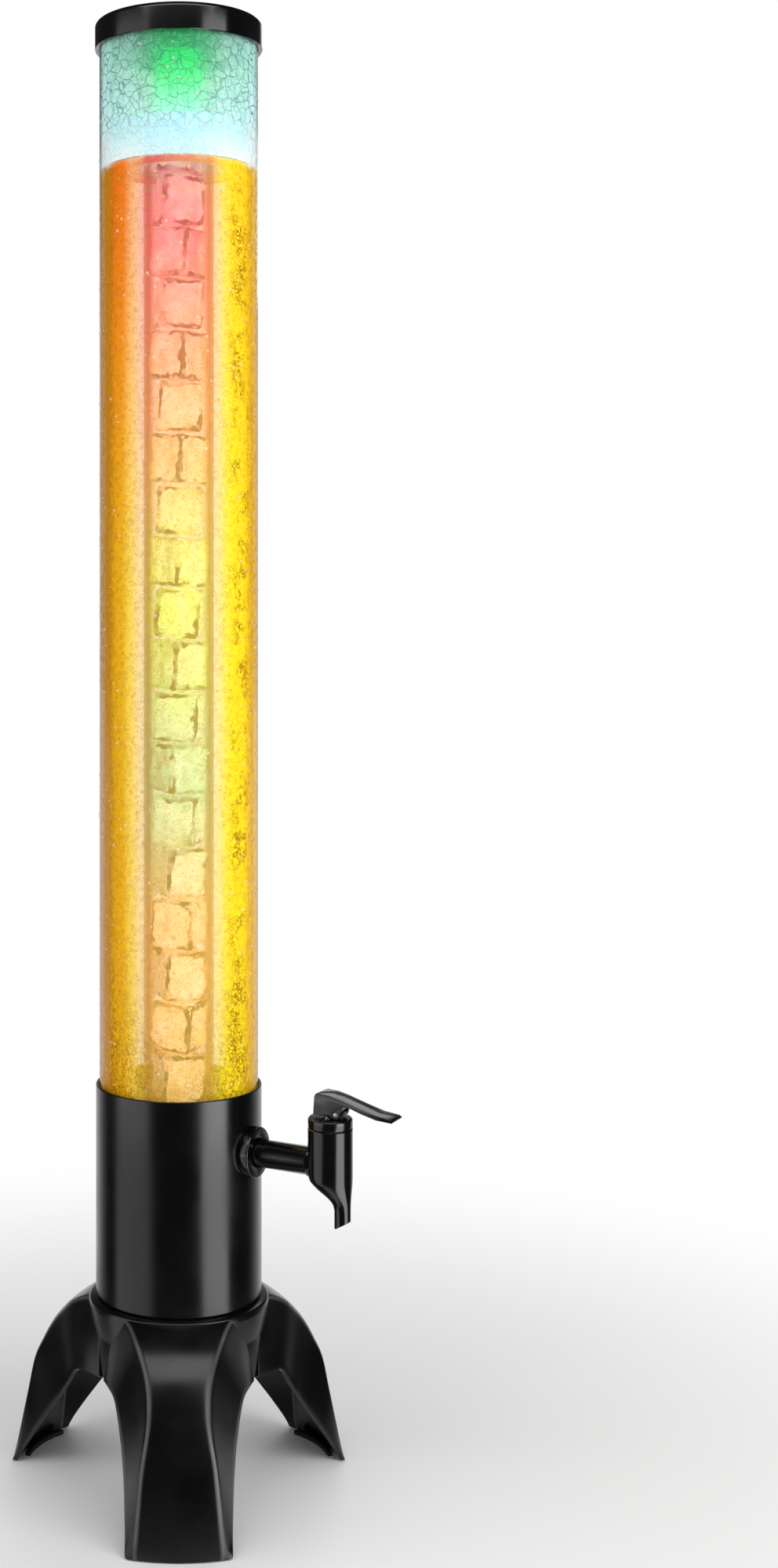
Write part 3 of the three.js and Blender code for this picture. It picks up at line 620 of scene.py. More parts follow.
GROUPS: dict[str, tuple[Callable[[Graph, Added], dict[str, Value]], dict[str, float]]] = {
    "place": (build_place, {"Axis X": TOWER_X, "Turn": math.pi / 6}),
    "grain": (build_grain, {"Scale": 900.0, "Patch Scale": 30.0}),
    "drops": (build_drops, {"Scale": 260.0, "Size": 0.3}),
    "lamp tint": (build_lamp_tint, {"Height": 0.5}),
}


def group_tree(name: str) -> bpy.types.NodeTree:
    """Builds a shared group, or finds it.

    Args:
        name: Its name in GROUPS.

    Returns:
        The group's tree.
    """
    found = bpy.data.node_groups.get(name)
    if found:
        return found
    build, inputs = GROUPS[name]
    graph = Graph(bpy.data.node_groups.new(name, "ShaderNodeTree"))
    add = graph.tree.interface.new_socket
    for label, value in inputs.items():
        add(label, in_out="INPUT", socket_type="NodeSocketFloat").default_value = value
    results = build(graph, graph.node("NodeGroupInput"))
    for label in results:
        add(label, in_out="OUTPUT", socket_type=f"NodeSocket{'Color' if label == 'Color' else 'Float'}")
    graph.node("NodeGroupOutput", results)
    return graph.tree


# Finishes


@dataclass(frozen=True)
class Finish:
    """A finish, whose material is built once."""

    label: str
    slot: Slot
    lamp_share: float = 0.0

    def material(self) -> bpy.types.Material:
        """Builds the material, or finds it.

        Returns:
            The Blender material of this finish.
        """
        found = bpy.data.materials.get(self.label)
        if found:
            return found
        made = bpy.data.materials.new(self.label)
        made.use_nodes = True
        graph = Graph(made.node_tree)
        surface = graph.node("ShaderNodeBsdfPrincipled", self.fill(graph))[0]
        if self.lamp_share:
            share = graph.node("ShaderNodeLightPath")["Is Shadow Ray"] * self.lamp_share
            through = graph.node("ShaderNodeBsdfTransparent")[0]
            surface = graph.node("ShaderNodeMixShader", {0: share, 1: surface, 2: through})[0]
        graph.node("ShaderNodeOutputMaterial", {"Surface": surface})
        return made

    def fill(self, graph: Graph) -> Inputs:
        """What goes into the shader. Each kind of finish has its own."""
        return {}


@dataclass(frozen=True)
class Moulded(Finish):
    """Opaque moulded plastic or rubber, with a grain, faint patches and dust, and a painted highlight along
    marked ridges.
    """

    dark: str = "050506"
    light: str = "0a0a0b"
    rough_low: float = 0.16
    rough_high: float = 0.24
    grain_scale: float = 900.0
    depth: float = 0.00003
    coat: float = 0.0
    # Colour of the dust specks and of the painted highlight along the marked ridges.
    painted_highlight: str = "58585a"

    def fill(self, graph: Graph) -> Inputs:
        """Works out colour, roughness and bump from the grain, with dust and a painted highlight on the
        marked ridges.

        Args:
            graph: The material's graph.

        Returns:
            What goes into the shader.
        """
        grain = graph.group("grain", Scale=self.grain_scale)
        patches = grain["Patches"]
        # Painted highlight along the ridges that the mesh marks, added to the real dust specks.
        ridge_highlight = graph.mark("ridge") * (patches * 0.4 + 0.6)
        dust_and_highlight = (grain["Dust"] * 0.06 + ridge_highlight * 0.9).clamped()
        rough = patches * (self.rough_high - self.rough_low) + self.rough_low
        return {
            "Base Color": graph.blend(dust_and_highlight, graph.blend(patches, self.dark, self.light), self.painted_highlight),
            "Roughness": grain["Grain"] * 0.06 + rough,
            "Coat Weight": self.coat,
            "Coat Roughness": 0.12,
            "Normal": graph.bump(grain["Grain"], 0.12, self.depth),
        }


@dataclass(frozen=True)
class Metal(Finish):
    """Brushed or turned metal."""

    dark: str = "8f9296"
    light: str = "c4c6c8"

    def fill(self, graph: Graph) -> Inputs:
        """Works out a metal with fine turning marks.

        Args:
            graph: The material's graph.

        Returns:
            What goes into the shader.
        """
        grain = graph.group("grain", Scale=2600.0, Patch_Scale=160.0)
        return {
            "Base Color": graph.blend(grain["Grain"], self.dark, self.light),
            "Roughness": grain["Patches"] * 0.14 + 0.22,
            "Metallic": 1.0,
            "Normal": graph.bump(grain["Grain"], 0.2, 0.00002),
        }


@dataclass(frozen=True)
class ClearWall(Finish):
    """Clear tube wall: painted golden where it would bend the beer to its edge, with painted shade at its
    silhouette, and frosted above a height, where the lamp's glow is painted on.
    """

    # Heights at which the frost, the lamp's painted green glow and a paler tint set in and are full.
    frost: Range = (0.826, 0.858)
    line_softness: float = 0.004
    green: Range = (0.846, 0.886)
    paler: Range = (0.85, 0.892)
    across: Range = (-0.05, 0.05)
    cold: tuple[str, str] = ("ccf0f4", "b0e4d8")
    # Colour of the lamp's glow painted on the frosted wall.
    lit: str = "14d464"
    net: str = "38746c"
    # Painted shade round the rims of the drops.
    rims: str = "b07c20"
    empty: str = "f0f8f8"
    # Painted shade along the silhouette, over the empty tube and over the beer.
    edges: tuple[str, str] = ("384c4c", "6c5020")
    # The beer's gold painted on the wall as if bent to its edges, deeper on the left.
    gold: Stops = ((0.0, AMBER), (0.6, STRAW), (1.0, HONEY))

    def fill(self, graph: Graph) -> Inputs:
        """Works out the wall's tint, its opacity and its droplets.

        Args:
            graph: The material's graph.

        Returns:
            What goes into the shader.
        """
        place, drops = graph.group("place"), graph.group("drops", Scale=240.0, Size=0.34)
        height, net, facing = place["Height"], drops["Net"], graph.facing()
        # Painted shade along the silhouette.
        line = facing.spread(0.7, 0.92) * 0.85
        frosted = height.spread(*self.frost)
        # Painted glow of the lamp across the middle of the frosted wall.
        glow = facing.spread(0.3, 0.0) * height.spread(*self.green)
        pale = graph.blend(height.spread(*self.paler), *self.cold)
        pale = graph.blend(glow * 0.9, pale, self.lit)
        full = height.spread(self.frost[0], self.frost[0] - self.line_softness)
        golden = graph.ramp(place["Across"].spread(*self.across), self.gold)
        glass = graph.blend(full, self.empty, graph.blend(drops["Rims"] * 0.8, golden, self.rims))
        body = graph.blend(frosted, glass, graph.blend(net * 0.8, pale, self.net))
        clear = facing.spread(0.46, 0.72) * 0.75 + (drops["Rims"] * 0.22 + 0.03)
        hazy = facing * 0.35 + (net * 0.3 + 0.26)
        return {
            "Base Color": graph.blend(line, body, graph.blend(full, *self.edges)),
            "Alpha": (clear + frosted * hazy).clamped(),
            "Roughness": frosted.spread(0.0, 1.0, 0.06, 0.3),
            "IOR": 1.22,
            "Normal": graph.bump(drops["Drops"] + net, 0.5, 0.0003),
        }


@dataclass(frozen=True)
class Lager(Finish):
    """Golden beer: clear in its middle, bright and then deep to its sides with painted shade, and more
    orange left and up with painted lamp light.
    """

    middle: float = 0.24
    side: float = 0.92
    bore: float = 0.1
    # Strength of the beer's painted glow; the beer is no lamp.
    glow: float = 0.14
    # Colour of the dark mottling: bubbles on the right and at the foot, painted shade down the left edge.
    dark: str = "8c5c08"
    # Heights at which the warmer colours of the painted lamp light and the mottled foot set in and are full.
    warm: Range = (0.54, 0.84)
    foot: Range = (0.34, 0.25)
    # Distances from the axis at which the mottling and the wall of the bore do so.
    off_axis: Range = (0.01, 0.03)
    ice_wall: Range = (0.03, 0.026)
    # Colours from the middle out to the sides, deepened there as painted shade: low in the beer, then high
    # up where painted lamp light warms them.
    low: Stops = ((0.1, STRAW), (0.22, GOLD), (0.38, HONEY), (1.0, AMBER))
    high: Stops = ((0.1, ROSE), (0.22, PEACH), (0.38, ORANGE), (1.0, RUST))
    # Painted light on the beer's right side.
    right_painted_light: str = LEMON
    right_painted_light_share: float = 0.75

    def fill(self, graph: Graph) -> Inputs:
        """Works out the beer's colours with their painted light and shade, its dark mottling, its opacity
        and its painted glow.

        Args:
            graph: The material's graph.

        Returns:
            What goes into the shader.
        """
        place, drops = graph.group("place"), graph.group("drops", Scale=300.0, Size=0.45)
        patches = graph.group("grain", Scale=420.0, Patch_Scale=60.0)["Patches"]
        across, height, facing = place["Across"], place["Height"], graph.facing()
        near, far = self.off_axis
        right = across.spread(near, far) * patches.spread(0.3, 0.8) * facing.spread(0.2, 0.42)
        # Down the left edge the mottling is painted shade.
        left = across.spread(-near, -far) * facing.spread(0.36, 0.66, 0.0, 0.7)
        foot = height.spread(*self.foot, 0.0, 0.6)
        mottle = ((right + left + foot) * (drops["Net"] * 0.8 + drops["Rims"])).clamped()
        turned = across.spread(-0.02, 0.02)
        # Painted shade: the colour deepens toward the silhouette, and warms higher up as painted lamp light.
        tints = (graph.ramp(facing, stops) for stops in (self.low, self.high))
        body = graph.blend(height.spread(*self.warm), *tints)
        # Painted light: a lemon tint toward the right edge.
        side = turned * facing.spread(0.06, 0.24) * self.right_painted_light_share
        body = graph.blend(mottle * 0.85, graph.blend(side, body, self.right_painted_light), self.dark)
        inner = place["Radius"].spread(*self.ice_wall)
        thick = facing.spread(0.08, 0.32, self.middle, self.side) * (1.0 - inner) + inner * self.bore
        return {
            "Base Color": body,
            "Emission Color": body,
            "Emission Strength": self.glow,
            "Alpha": (mottle * 0.08 + thick).clamped(),
            "Roughness": 0.14,
            "IOR": 1.2,
            "Normal": graph.bump(drops["Drops"], 0.15, 0.0002),
        }


@dataclass(frozen=True)
class Froth(Finish):
    """Pale foam, tinted by the lamp over it with painted light that makes it bluer at its top and in its
    middle, and greyer at its sides with painted shade.
    """

    pale: str = "ecf0f0"
    cold: str = "b8e8ec"
    middle: str = "80ccec"
    side: str = "a0b0b8"
    net: str = "84a8b0"
    # Strength of the foam's painted glow; the foam is no lamp.
    glow: float = 0.15
    tinted: Range = (0.827, 0.846)

    def fill(self, graph: Graph) -> Inputs:
        """Works out the foam's tints, with their painted light and shade, and its bubbles.

        Args:
            graph: The material's graph.

        Returns:
            What goes into the shader.
        """
        place, drops = graph.group("place"), graph.group("drops", Scale=420.0, Size=0.5)
        facing = graph.facing()
        # Painted lamp light: bluer at the top and in the middle.
        body = graph.blend(place["Height"].spread(*self.tinted), self.pale, self.cold)
        body = graph.blend(facing.spread(0.3, 0.0) * 0.5, body, self.middle)
        # Painted shade at the silhouette.
        body = graph.blend(facing.spread(0.5, 1.0) * 0.8, body, self.side)
        body = graph.blend(drops["Net"] * 0.3, body, self.net)
        return {
            "Base Color": body,
            "Emission Color": body,
            "Emission Strength": self.glow,
            "Alpha": drops["Net"] * 0.12 + 0.8,
            "Roughness": 0.55,
            "Normal": graph.bump(drops["Drops"], 0.6, 0.0006),
        }


@dataclass(frozen=True)
class IceWall(Finish):
    """The ice tube's wall: clear, with painted shade at its edges, and a painted green glow next to the
    lamp.
    """

    # Painted shade at the wall's silhouette.
    edge: str = "b0746c"
    glow: float = 0.4

    def fill(self, graph: Graph) -> Inputs:
        """Works out the wall's tint, its opacity and the lamp's painted glow.

        Args:
            graph: The material's graph.

        Returns:
            What goes into the shader.
        """
        lamp = graph.group("lamp tint", Height=graph.group("place")["Height"])
        drops, facing = graph.group("drops", Scale=300.0, Size=0.4), graph.facing()
        tint, strength, rim = lamp["Color"], lamp["Strength"], facing.spread(0.2, 0.65)
        lit = facing.spread(0.5, -0.05) * (drops["Net"] * -0.2 + 0.85)
        clear = (rim * 0.5 + 0.05) * (1.0 - strength)
        return {
            # Base colour: the lamp's painted colour, darkened at the silhouette by painted shade.
            "Base Color": graph.blend(rim, tint, graph.blend(1.0, tint, self.edge, "MULTIPLY")),
            # Painted glow: the wall emits the lamp's colour next to the lamp, though it is no lamp.
            "Emission Color": graph.blend(strength, "000000", tint),
            "Emission Strength": self.glow,
            "Alpha": (strength * lit + clear).clamped(),
            "Roughness": 0.1,
            "IOR": 1.2,
            "Normal": graph.bump(drops["Drops"], 0.2, 0.0002),
        }


@dataclass(frozen=True)
class Ice(Finish):
    """An ice cube: pale faces, cloudy inside, with painted shade on its edges and flanks."""

    pale: str = "fffae8"
    # Painted shade on the edges and flanks, over the lamp's colour.
    dark: str = "4c2420"
    glow: float = 0.42

    def fill(self, graph: Graph) -> Inputs:
        """Works out the cube's tints from its edges, its own tone and the lamp, as painted shade and painted
        lamp light.

        Args:
            graph: The material's graph.

        Returns:
            What goes into the shader.
        """
        tint = graph.group("lamp tint", Height=graph.group("place")["Height"])["Color"]
        patches = graph.group("grain", Scale=260.0, Patch_Scale=75.0)["Patches"]
        # Painted shade on flanks turned from the eye, stronger on every other cube.
        flank = graph.facing().spread(0.2, 0.6) * (graph.mark("tone") * 0.35 + 0.15)
        near = (graph.clouds(130.0, 1.0) - 0.5) * 1.5 + graph.mark("edge")
        gaps = graph.clouds(55.0, 2.0).spread(0.4, 0.56, 0.12, 1.0) * (patches * 0.8 + 0.6)
        # Painted shade in broken wavy lines along the edges.
        lines = near.spread(0.45, 0.7) * near.spread(1.35, 1.15) * gaps
        shade = graph.math("MAXIMUM", flank, lines).clamped()
        # Painted light and shade: lit faces pale in the lamp's colour, shaded parts a darker copy.
        pale = graph.blend(patches * 0.36 + 0.2, tint, self.pale)
        body = graph.blend(shade, pale, graph.blend(1.0, tint, self.dark, "MULTIPLY"))
        return {
            "Base Color": body,
            # The cube's emission is a painted glow; the ice is no lamp.
            "Emission Color": body,
            "Emission Strength": self.glow,
            "Alpha": (shade * 0.25 + (patches * 0.15 + 0.78)).clamped(),
            "Roughness": 0.14,
            "Normal": graph.bump(patches, 0.3, 0.0004),
        }


@dataclass(frozen=True)
class Bead(Finish):
    """A drop of water or a bubble, clear with painted shade at its rim."""

    middle: str = "fff8e0"
    # Painted shade at the bead's rim.
    rim: str = "6c4c14"
    open: float = 0.2

    def fill(self, graph: Graph) -> Inputs:
        """Works out a clear middle and a rim darkened by painted shade.

        Args:
            graph: The material's graph.

        Returns:
            What goes into the shader.
        """
        edge = graph.facing().spread(0.3, 0.9)
        return {
            "Base Color": graph.blend(edge, self.middle, self.rim),
            "Alpha": edge * 0.5 + self.open,
            "Roughness": graph.group("grain", Scale=1400.0)["Grain"] * 0.05 + 0.02,
        }


@dataclass(frozen=True)
class Lamp(Finish):
    """The lit lens and chip."""

    deep: str = "2fe884"
    bright: str = "a8ffd0"
    strength: float = 2.2

    def fill(self, graph: Graph) -> Inputs:
        """Works out a green glow that changes with the grain.

        Args:
            graph: The material's graph.

        Returns:
            What goes into the shader.
        """
        body = graph.blend(graph.group("grain", Scale=800.0)["Patches"], self.deep, self.bright)
        return {
            "Base Color": body,
            "Emission Color": body,
            "Emission Strength": self.strength,
            "Roughness": 0.2,
        }


@dataclass(frozen=True)
class Board(Finish):
    """Solder mask with copper tracks."""

    mask: tuple[str, str] = ("12492a", "2c8a50")
    copper: str = "c8a040"

    def fill(self, graph: Graph) -> Inputs:
        """Works out a green board with paler tracks.

        Args:
            graph: The material's graph.

        Returns:
            What goes into the shader.
        """
        bricks = {"Vector": graph.where(), "Scale": 320.0, "Mortar Size": 0.03}
        tracks = graph.node("ShaderNodeTexBrick", bricks)["Fac"]
        grain = graph.group("grain", Scale=1200.0)
        return {
            "Base Color": graph.blend(grain["Dust"] * 0.3, graph.blend(tracks, *self.mask), self.copper),
            "Roughness": grain["Grain"] * 0.2 + 0.3,
            "Normal": graph.bump(tracks, 0.3, 0.00005),
        }


BLACK = Moulded("black moulding", Slot.BLACK_PLASTIC)
BLACK_GLOSS = Moulded(
    "black gloss moulding", Slot.BLACK_PLASTIC, rough_low=0.1, rough_high=0.18, depth=0.00001, coat=0.3
)
RUBBER = Moulded("black rubber", Slot.BLACK_RUBBER, 0.0, "0c0c0d", "161618", 0.6, 0.8, 1400.0, 0.00008)
STEEL = Metal("stainless steel", Slot.STEEL)
CLEAR = ClearWall("clear tube", Slot.CLEAR_PLASTIC, 0.95)
LAGER = Lager("lager", Slot.BEER, 0.85)
FROTH = Froth("frothy head", Slot.FOAM, 0.6)
ICE_WALL = IceWall("ice tube wall", Slot.CLEAR_PLASTIC, 0.9)
ICE = Ice("cloudy ice", Slot.ICE, 0.5)
DROPLET = Bead("condensation", Slot.CLEAR_PLASTIC, 0.95)
BUBBLE = Bead("bubble", Slot.BEER, 0.95, "fff0b0", "9c6c08", 0.24)
LAMP = Lamp("green lamp", Slot.LED)
BOARD = Board("printed board", Slot.CIRCUIT_BOARD)


# Geometry Nodes


class NodeForm:
    """A Geometry Nodes tree with named inputs, put on an object and then settled into a mesh."""

    def __init__(self, name: str, values: dict[str, float | int]) -> None:
        """Starts the tree.

        Args:
            name: The tree's name.
            values: Its number inputs, besides the geometry and the material.
        """
        self.tree = bpy.data.node_groups.new(name, "GeometryNodeTree")
        add = self.tree.interface.new_socket
        add("Geometry", in_out="INPUT", socket_type="NodeSocketGeometry")
        for label, value in values.items():
            kind = "NodeSocketInt" if isinstance(value, int) else "NodeSocketFloat"
            add(label, in_out="INPUT", socket_type=kind).default_value = value
        add("Material", in_out="INPUT", socket_type="NodeSocketMaterial")
        add("Geometry", in_out="OUTPUT", socket_type="NodeSocketGeometry")
        self.graph = Graph(self.tree)
        self.given = self.graph.node("NodeGroupInput")

    def place(self, points: Value, instance: Value, rotation: Value, **more: Value) -> "NodeForm":
        """Puts instances on points, makes them real, gives them their material and closes the tree.

        Args:
            points: The points.
            instance: What stands on each.
            rotation: How each is turned.
            more: Further inputs, such as the scale.

        Returns:
            This form.
        """
        inputs = {"Points": points, "Instance": instance, "Rotation": rotation} | more
        placed = self.graph.node("GeometryNodeInstanceOnPoints", inputs)[0]
        real = self.graph.node("GeometryNodeRealizeInstances", {0: placed})[0]
        dressed = {"Geometry": real, "Material": self.given["Material"]}
        self.graph.node("NodeGroupOutput", {0: self.graph.node("GeometryNodeSetMaterial", dressed)[0]})
        return self

    def grow(self, base: Object, name: str, finish: Finish, values: Inputs) -> Object:
        """Runs the tree on an object.

        Args:
            base: The object that it starts from, which is removed.
            name: The new object's name.
            finish: Its finish.
            values: Further inputs by name.

        Returns:
            The new object, a plain mesh.
        """
        values = values | {"Material": finish.material()}
        modifier = base.modifiers.new("form", "NODES")
        modifier.node_group = self.tree
        for item in self.tree.interface.items_tree:
            if item.in_out == "INPUT" and item.name in values:
                modifier[item.identifier] = values[item.name]
        return settled(base, name)


def triple(graph: Graph, x: object = 0.0, y: object = 0.0, z: object = 0.0) -> Value:
    """A vector of three numbers."""
    return graph.node("ShaderNodeCombineXYZ", {0: x, 1: y, 2: z})[0]


def scatter_form() -> NodeForm:
    """Strews beads of mixed sizes over a surface and flattens them against it.

    Returns:
        The form.
    """
    sizes = {"Density": 5000.0, "Smallest": 0.0003, "Largest": 0.001, "Flatness": 0.5, "Seed": 1}
    form = NodeForm("scattered beads", sizes)
    graph, given = form.graph, form.given
    strewn = {"Mesh": given["Geometry"], "Density": given["Density"], "Seed": given["Seed"]}
    points = graph.node("GeometryNodeDistributePointsOnFaces", strewn)
    share = graph.node("FunctionNodeRandomValue", {"Seed": given["Seed"]}, data_type="FLOAT")["Value"]
    size = graph.math("POWER", share, 3.0) * (given["Largest"] - given["Smallest"]) + given["Smallest"]
    bead = graph.node("GeometryNodeMeshUVSphere", {"Segments": 8, "Rings": 5, "Radius": 1.0})["Mesh"]
    scale = triple(graph, size, size, size * given["Flatness"])
    return form.place(points["Points"], bead, points["Rotation"], Scale=scale)


def column_form() -> NodeForm:
    """Stacks ice cubes, each turned on from the last and tipped a little.

    Returns:
        The form.
    """
    sizes = {"Count": 20, "Axis X": 0.0, "Lowest": 0.2, "Pitch": 0.03, "Turn": 2.4, "Tilt": 0.06}
    form = NodeForm("cube column", sizes)
    graph, given = form.graph, form.given
    start = triple(graph, given["Axis X"], 0.0, given["Lowest"])
    along = {"Count": given["Count"], "Start Location": start, "Offset": triple(graph, z=given["Pitch"])}
    line = graph.node("GeometryNodeMeshLine", along)[0]
    index = graph.node("GeometryNodeInputIndex")[0]
    turn, tilt = index * given["Turn"], given["Tilt"]
    marks = {"Geometry": line, "Name": "tone", "Value": graph.math("FLOORED_MODULO", index, 2.0)}
    marked = graph.node("GeometryNodeStoreNamedAttribute", marks, data_type="FLOAT", domain="POINT")[0]
    turned = triple(graph, graph.math("SINE", turn) * tilt, graph.math("COSINE", turn) * tilt, turn)
    return form.place(marked, given["Geometry"], turned)


def wheel_form() -> NodeForm:
    """Places copies of a piece at equal turns about the tower's axis.

    Returns:
        The form.
    """
    form = NodeForm("wheel", {"Count": 3, "Axis X": 0.0, "First Turn": 0.0})
    graph, given = form.graph, form.given
    hub = triple(graph, given["Axis X"])
    line = {"Count": given["Count"], "Start Location": hub, "Offset": (0.0, 0.0, 0.0)}
    step = graph.math("DIVIDE", 2 * math.pi, given["Count"])
    turn = graph.node("GeometryNodeInputIndex")[0] * step + given["First Turn"]
    points = graph.node("GeometryNodeMeshLine", line)[0]
    return form.place(points, given["Geometry"], triple(graph, z=turn))


# Sub-assemblies


@dataclass
class Stand:
    """Three hollow legs round a hub, set there by a wheel form."""

    wheel: NodeForm
    root: float = 0.0525
    reach: float = 0.111
    foot_half_width: float = 0.0314
    foot_rounding: float = 0.1
    foot_taper: float = 0.12
    height: float = 0.119
    wall: float = 0.003
    ridge: float = 0.0036
    rows: int = 56
    lowest: float = 0.0008
    hub_bottom: float = 0.074
    hub_radius: float = 0.054
    hub_lip: float = 0.057
    hub_bore: float = 0.051
    hub_deck: float = 0.112
    spigot: float = 0.0467
    flare_below: float = 0.014
    flare_above: float = 0.0035
    hub_edge: float = 0.0008
    leg_edge: float = 0.0005
    flank_steps: int = 8
    crown_steps: int = 14
    # How strongly the painted highlight runs across each point of a ridge's rounding; its length also sets
    # the rounding's points.
    ridge_highlight_profile: tuple[float, ...] = (0.0, 0.0, 0.5, 1.0, 0.5, 0.0, 0.0)
    # Reach, height, half width and crown of the back, then reach, height and half width of the free edge.
    line_shares: tuple[tuple[float, ...], ...] = (
        (0, 1, 1.21, 0.525, -0.385, 0.622, 1.481),
        (0.111, 0.975, 0.987, 0.28, -0.179, 0.63, 1.385),
        (0.299, 0.908, 0.806, 0.143, 0.005, 0.605, 1.255),
        (0.47, 0.824, 0.662, 0.096, 0.128, 0.524, 1.172),
        (0.59, 0.748, 0.599, 0.076, 0.231, 0.456, 1.124),
        (0.692, 0.66, 0.586, 0.064, 0.316, 0.4, 1.086),
        (0.788, 0.555, 0.624, 0.064, 0.504, 0.276, 1.038),
        (0.841, 0.395, 0.717, 0.07, 0.641, 0.187, 1.019),
        (0.915, 0.21, 0.78, 0.08, 0.778, 0.097, 1.003),
        (0.983, 0.042, 0.828, 0.089, 0.889, 0.0235, 1),
        (1, 0, 0.844, 0.096, 0.925, 0, 1),
    )

    def line_at(self, share: float) -> list[float]:
        """Reads the leg's numbers on a smooth curve through the rows.

        Args:
            share: How far down the leg, from 0 to 1.

        Returns:
            The numbers of a row.
        """
        last = len(self.line_shares) - 1
        row = min(int(share * last), last - 1)
        part = share * last - row
        points = [self.line_shares[min(max(row + k, 0), last)] for k in (-1, 0, 1, 2)]
        made = []
        for a, b, c, d in zip(*points):
            low, high = (c - a) / 2, (d - b) / 2
            start = b * (2 * part**3 - 3 * part**2 + 1) + low * (part**3 - 2 * part**2 + part)
            made.append(start + c * (3 * part**2 - 2 * part**3) + high * (part**3 - part**2))
        return made

    def section(self, share: float) -> list[Vector]:
        """Draws one section of the leg, from free edge to free edge, with rounded ridges.

        Args:
            share: How far down the leg, from 0 to 1.

        Returns:
            Its points.
        """
        out, high, wide, crown, edge_out, edge_high, edge_wide = self.line_at(share)
        length = self.reach - self.root
        low = max(0.0, (share - (1 - self.foot_rounding)) / self.foot_rounding)
        half = self.foot_half_width * (1 - self.foot_taper * (1 - math.sqrt(max(0.0, 1 - low * low))))
        inset = min(self.ridge, 0.3 * wide * half) / (wide * half)

        def back(side: float) -> Vector:
            """A point of the leg's back."""
            x = self.root + out * length - crown * half * side * side
            return Vector((x, side * wide * half, high * self.height))

        def flank(side: float) -> list[Vector]:
            """Draws the section from a free edge to its ridge and round it.

            Args:
                side: -1 or 1.

            Returns:
                Its points.
            """
            corner = back(side)
            edge = Vector((self.root + edge_out * length, side * edge_wide * half, edge_high * self.height))
            away = edge - corner
            first = corner + away.normalized() * min(self.ridge, 0.4 * away.length)
            arc = bend(first, corner, back(side * (1 - inset)), len(self.ridge_highlight_profile) - 1)
            steps = self.flank_steps
            return [edge.lerp(first, step / steps) for step in range(steps)] + arc

        steps = self.crown_steps
        crowned = [back((inset - 1) * (1 - 2 * step / steps)) for step in range(1, steps)]
        return flank(-1) + crowned + flank(1)[::-1]

    def leg(self) -> Object:
        """Builds one leg along +X, with its wall's thickness.

        Returns:
            The leg.
        """
        form = bmesh.new()
        skin(form, [self.section(row / self.rows) for row in range(self.rows + 1)], wrap=False)
        # The ridge attribute carries a painted highlight along the leg's ridges.
        layer = form.verts.layers.float.new("ridge")
        flank = [0.0] * self.flank_steps + list(self.ridge_highlight_profile)
        painted_highlight = flank + [0.0] * (self.crown_steps - 1) + flank[::-1]
        for vertex, mark in zip(form.verts, painted_highlight * (self.rows + 1)):
            vertex[layer] = mark
        bmesh.ops.recalc_face_normals(form, faces=form.faces)
        if max(form.faces, key=lambda face: face.calc_center_median().x).normal.x < 0:
            bmesh.ops.reverse_faces(form, faces=form.faces)
        made = plain_object("leg", form)
        wall = made.modifiers.new("wall", "SOLIDIFY")
        wall.thickness, wall.offset, wall.use_even_offset = self.wall, -1, False
        soften(made, self.leg_edge, 2, 50)
        made = settled(made, "leg_wall")
        inside = self.root - 0.001
        for vertex in made.data.vertices:
            flat = Vector((vertex.co.x, vertex.co.y))
            if flat.length < inside:
                flat = flat.normalized() * inside
                vertex.co.x, vertex.co.y = flat.x, flat.y
            vertex.co.z = max(vertex.co.z, self.lowest)
        return made

    def build(self) -> None:
        """Builds the stand and its pads."""
        values = {"Count": 3, "Axis X": TOWER_X, "First Turn": math.pi}
        legs = self.wheel.grow(self.leg(), "stand_legs", BLACK, values)
        top, deck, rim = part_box("base_stand")[1].z, self.hub_deck, self.height
        inside = self.spigot - self.wall
        outline = [
            (self.hub_bore, self.hub_bottom), (self.hub_radius, self.hub_bottom),
            (self.hub_radius, deck - self.flare_below), (self.hub_lip, deck + self.flare_above),
            (self.hub_lip - self.hub_edge, rim - self.hub_edge), (self.root, rim), (self.spigot, rim),
            (self.spigot, top), (inside, top), (inside, deck), (self.hub_bore, deck),
        ]
        dress(revolve("stand_hub", outline, 0.0012), BLACK, Body.TOWER)
        dress(legs, BLACK, Body.TOWER, "base_stand")
        for index in (1, 2, 3):
            finer(f"foot_pad_{index}", f"rubber_foot_{index}", 0.0005, RUBBER, Body.TOWER)


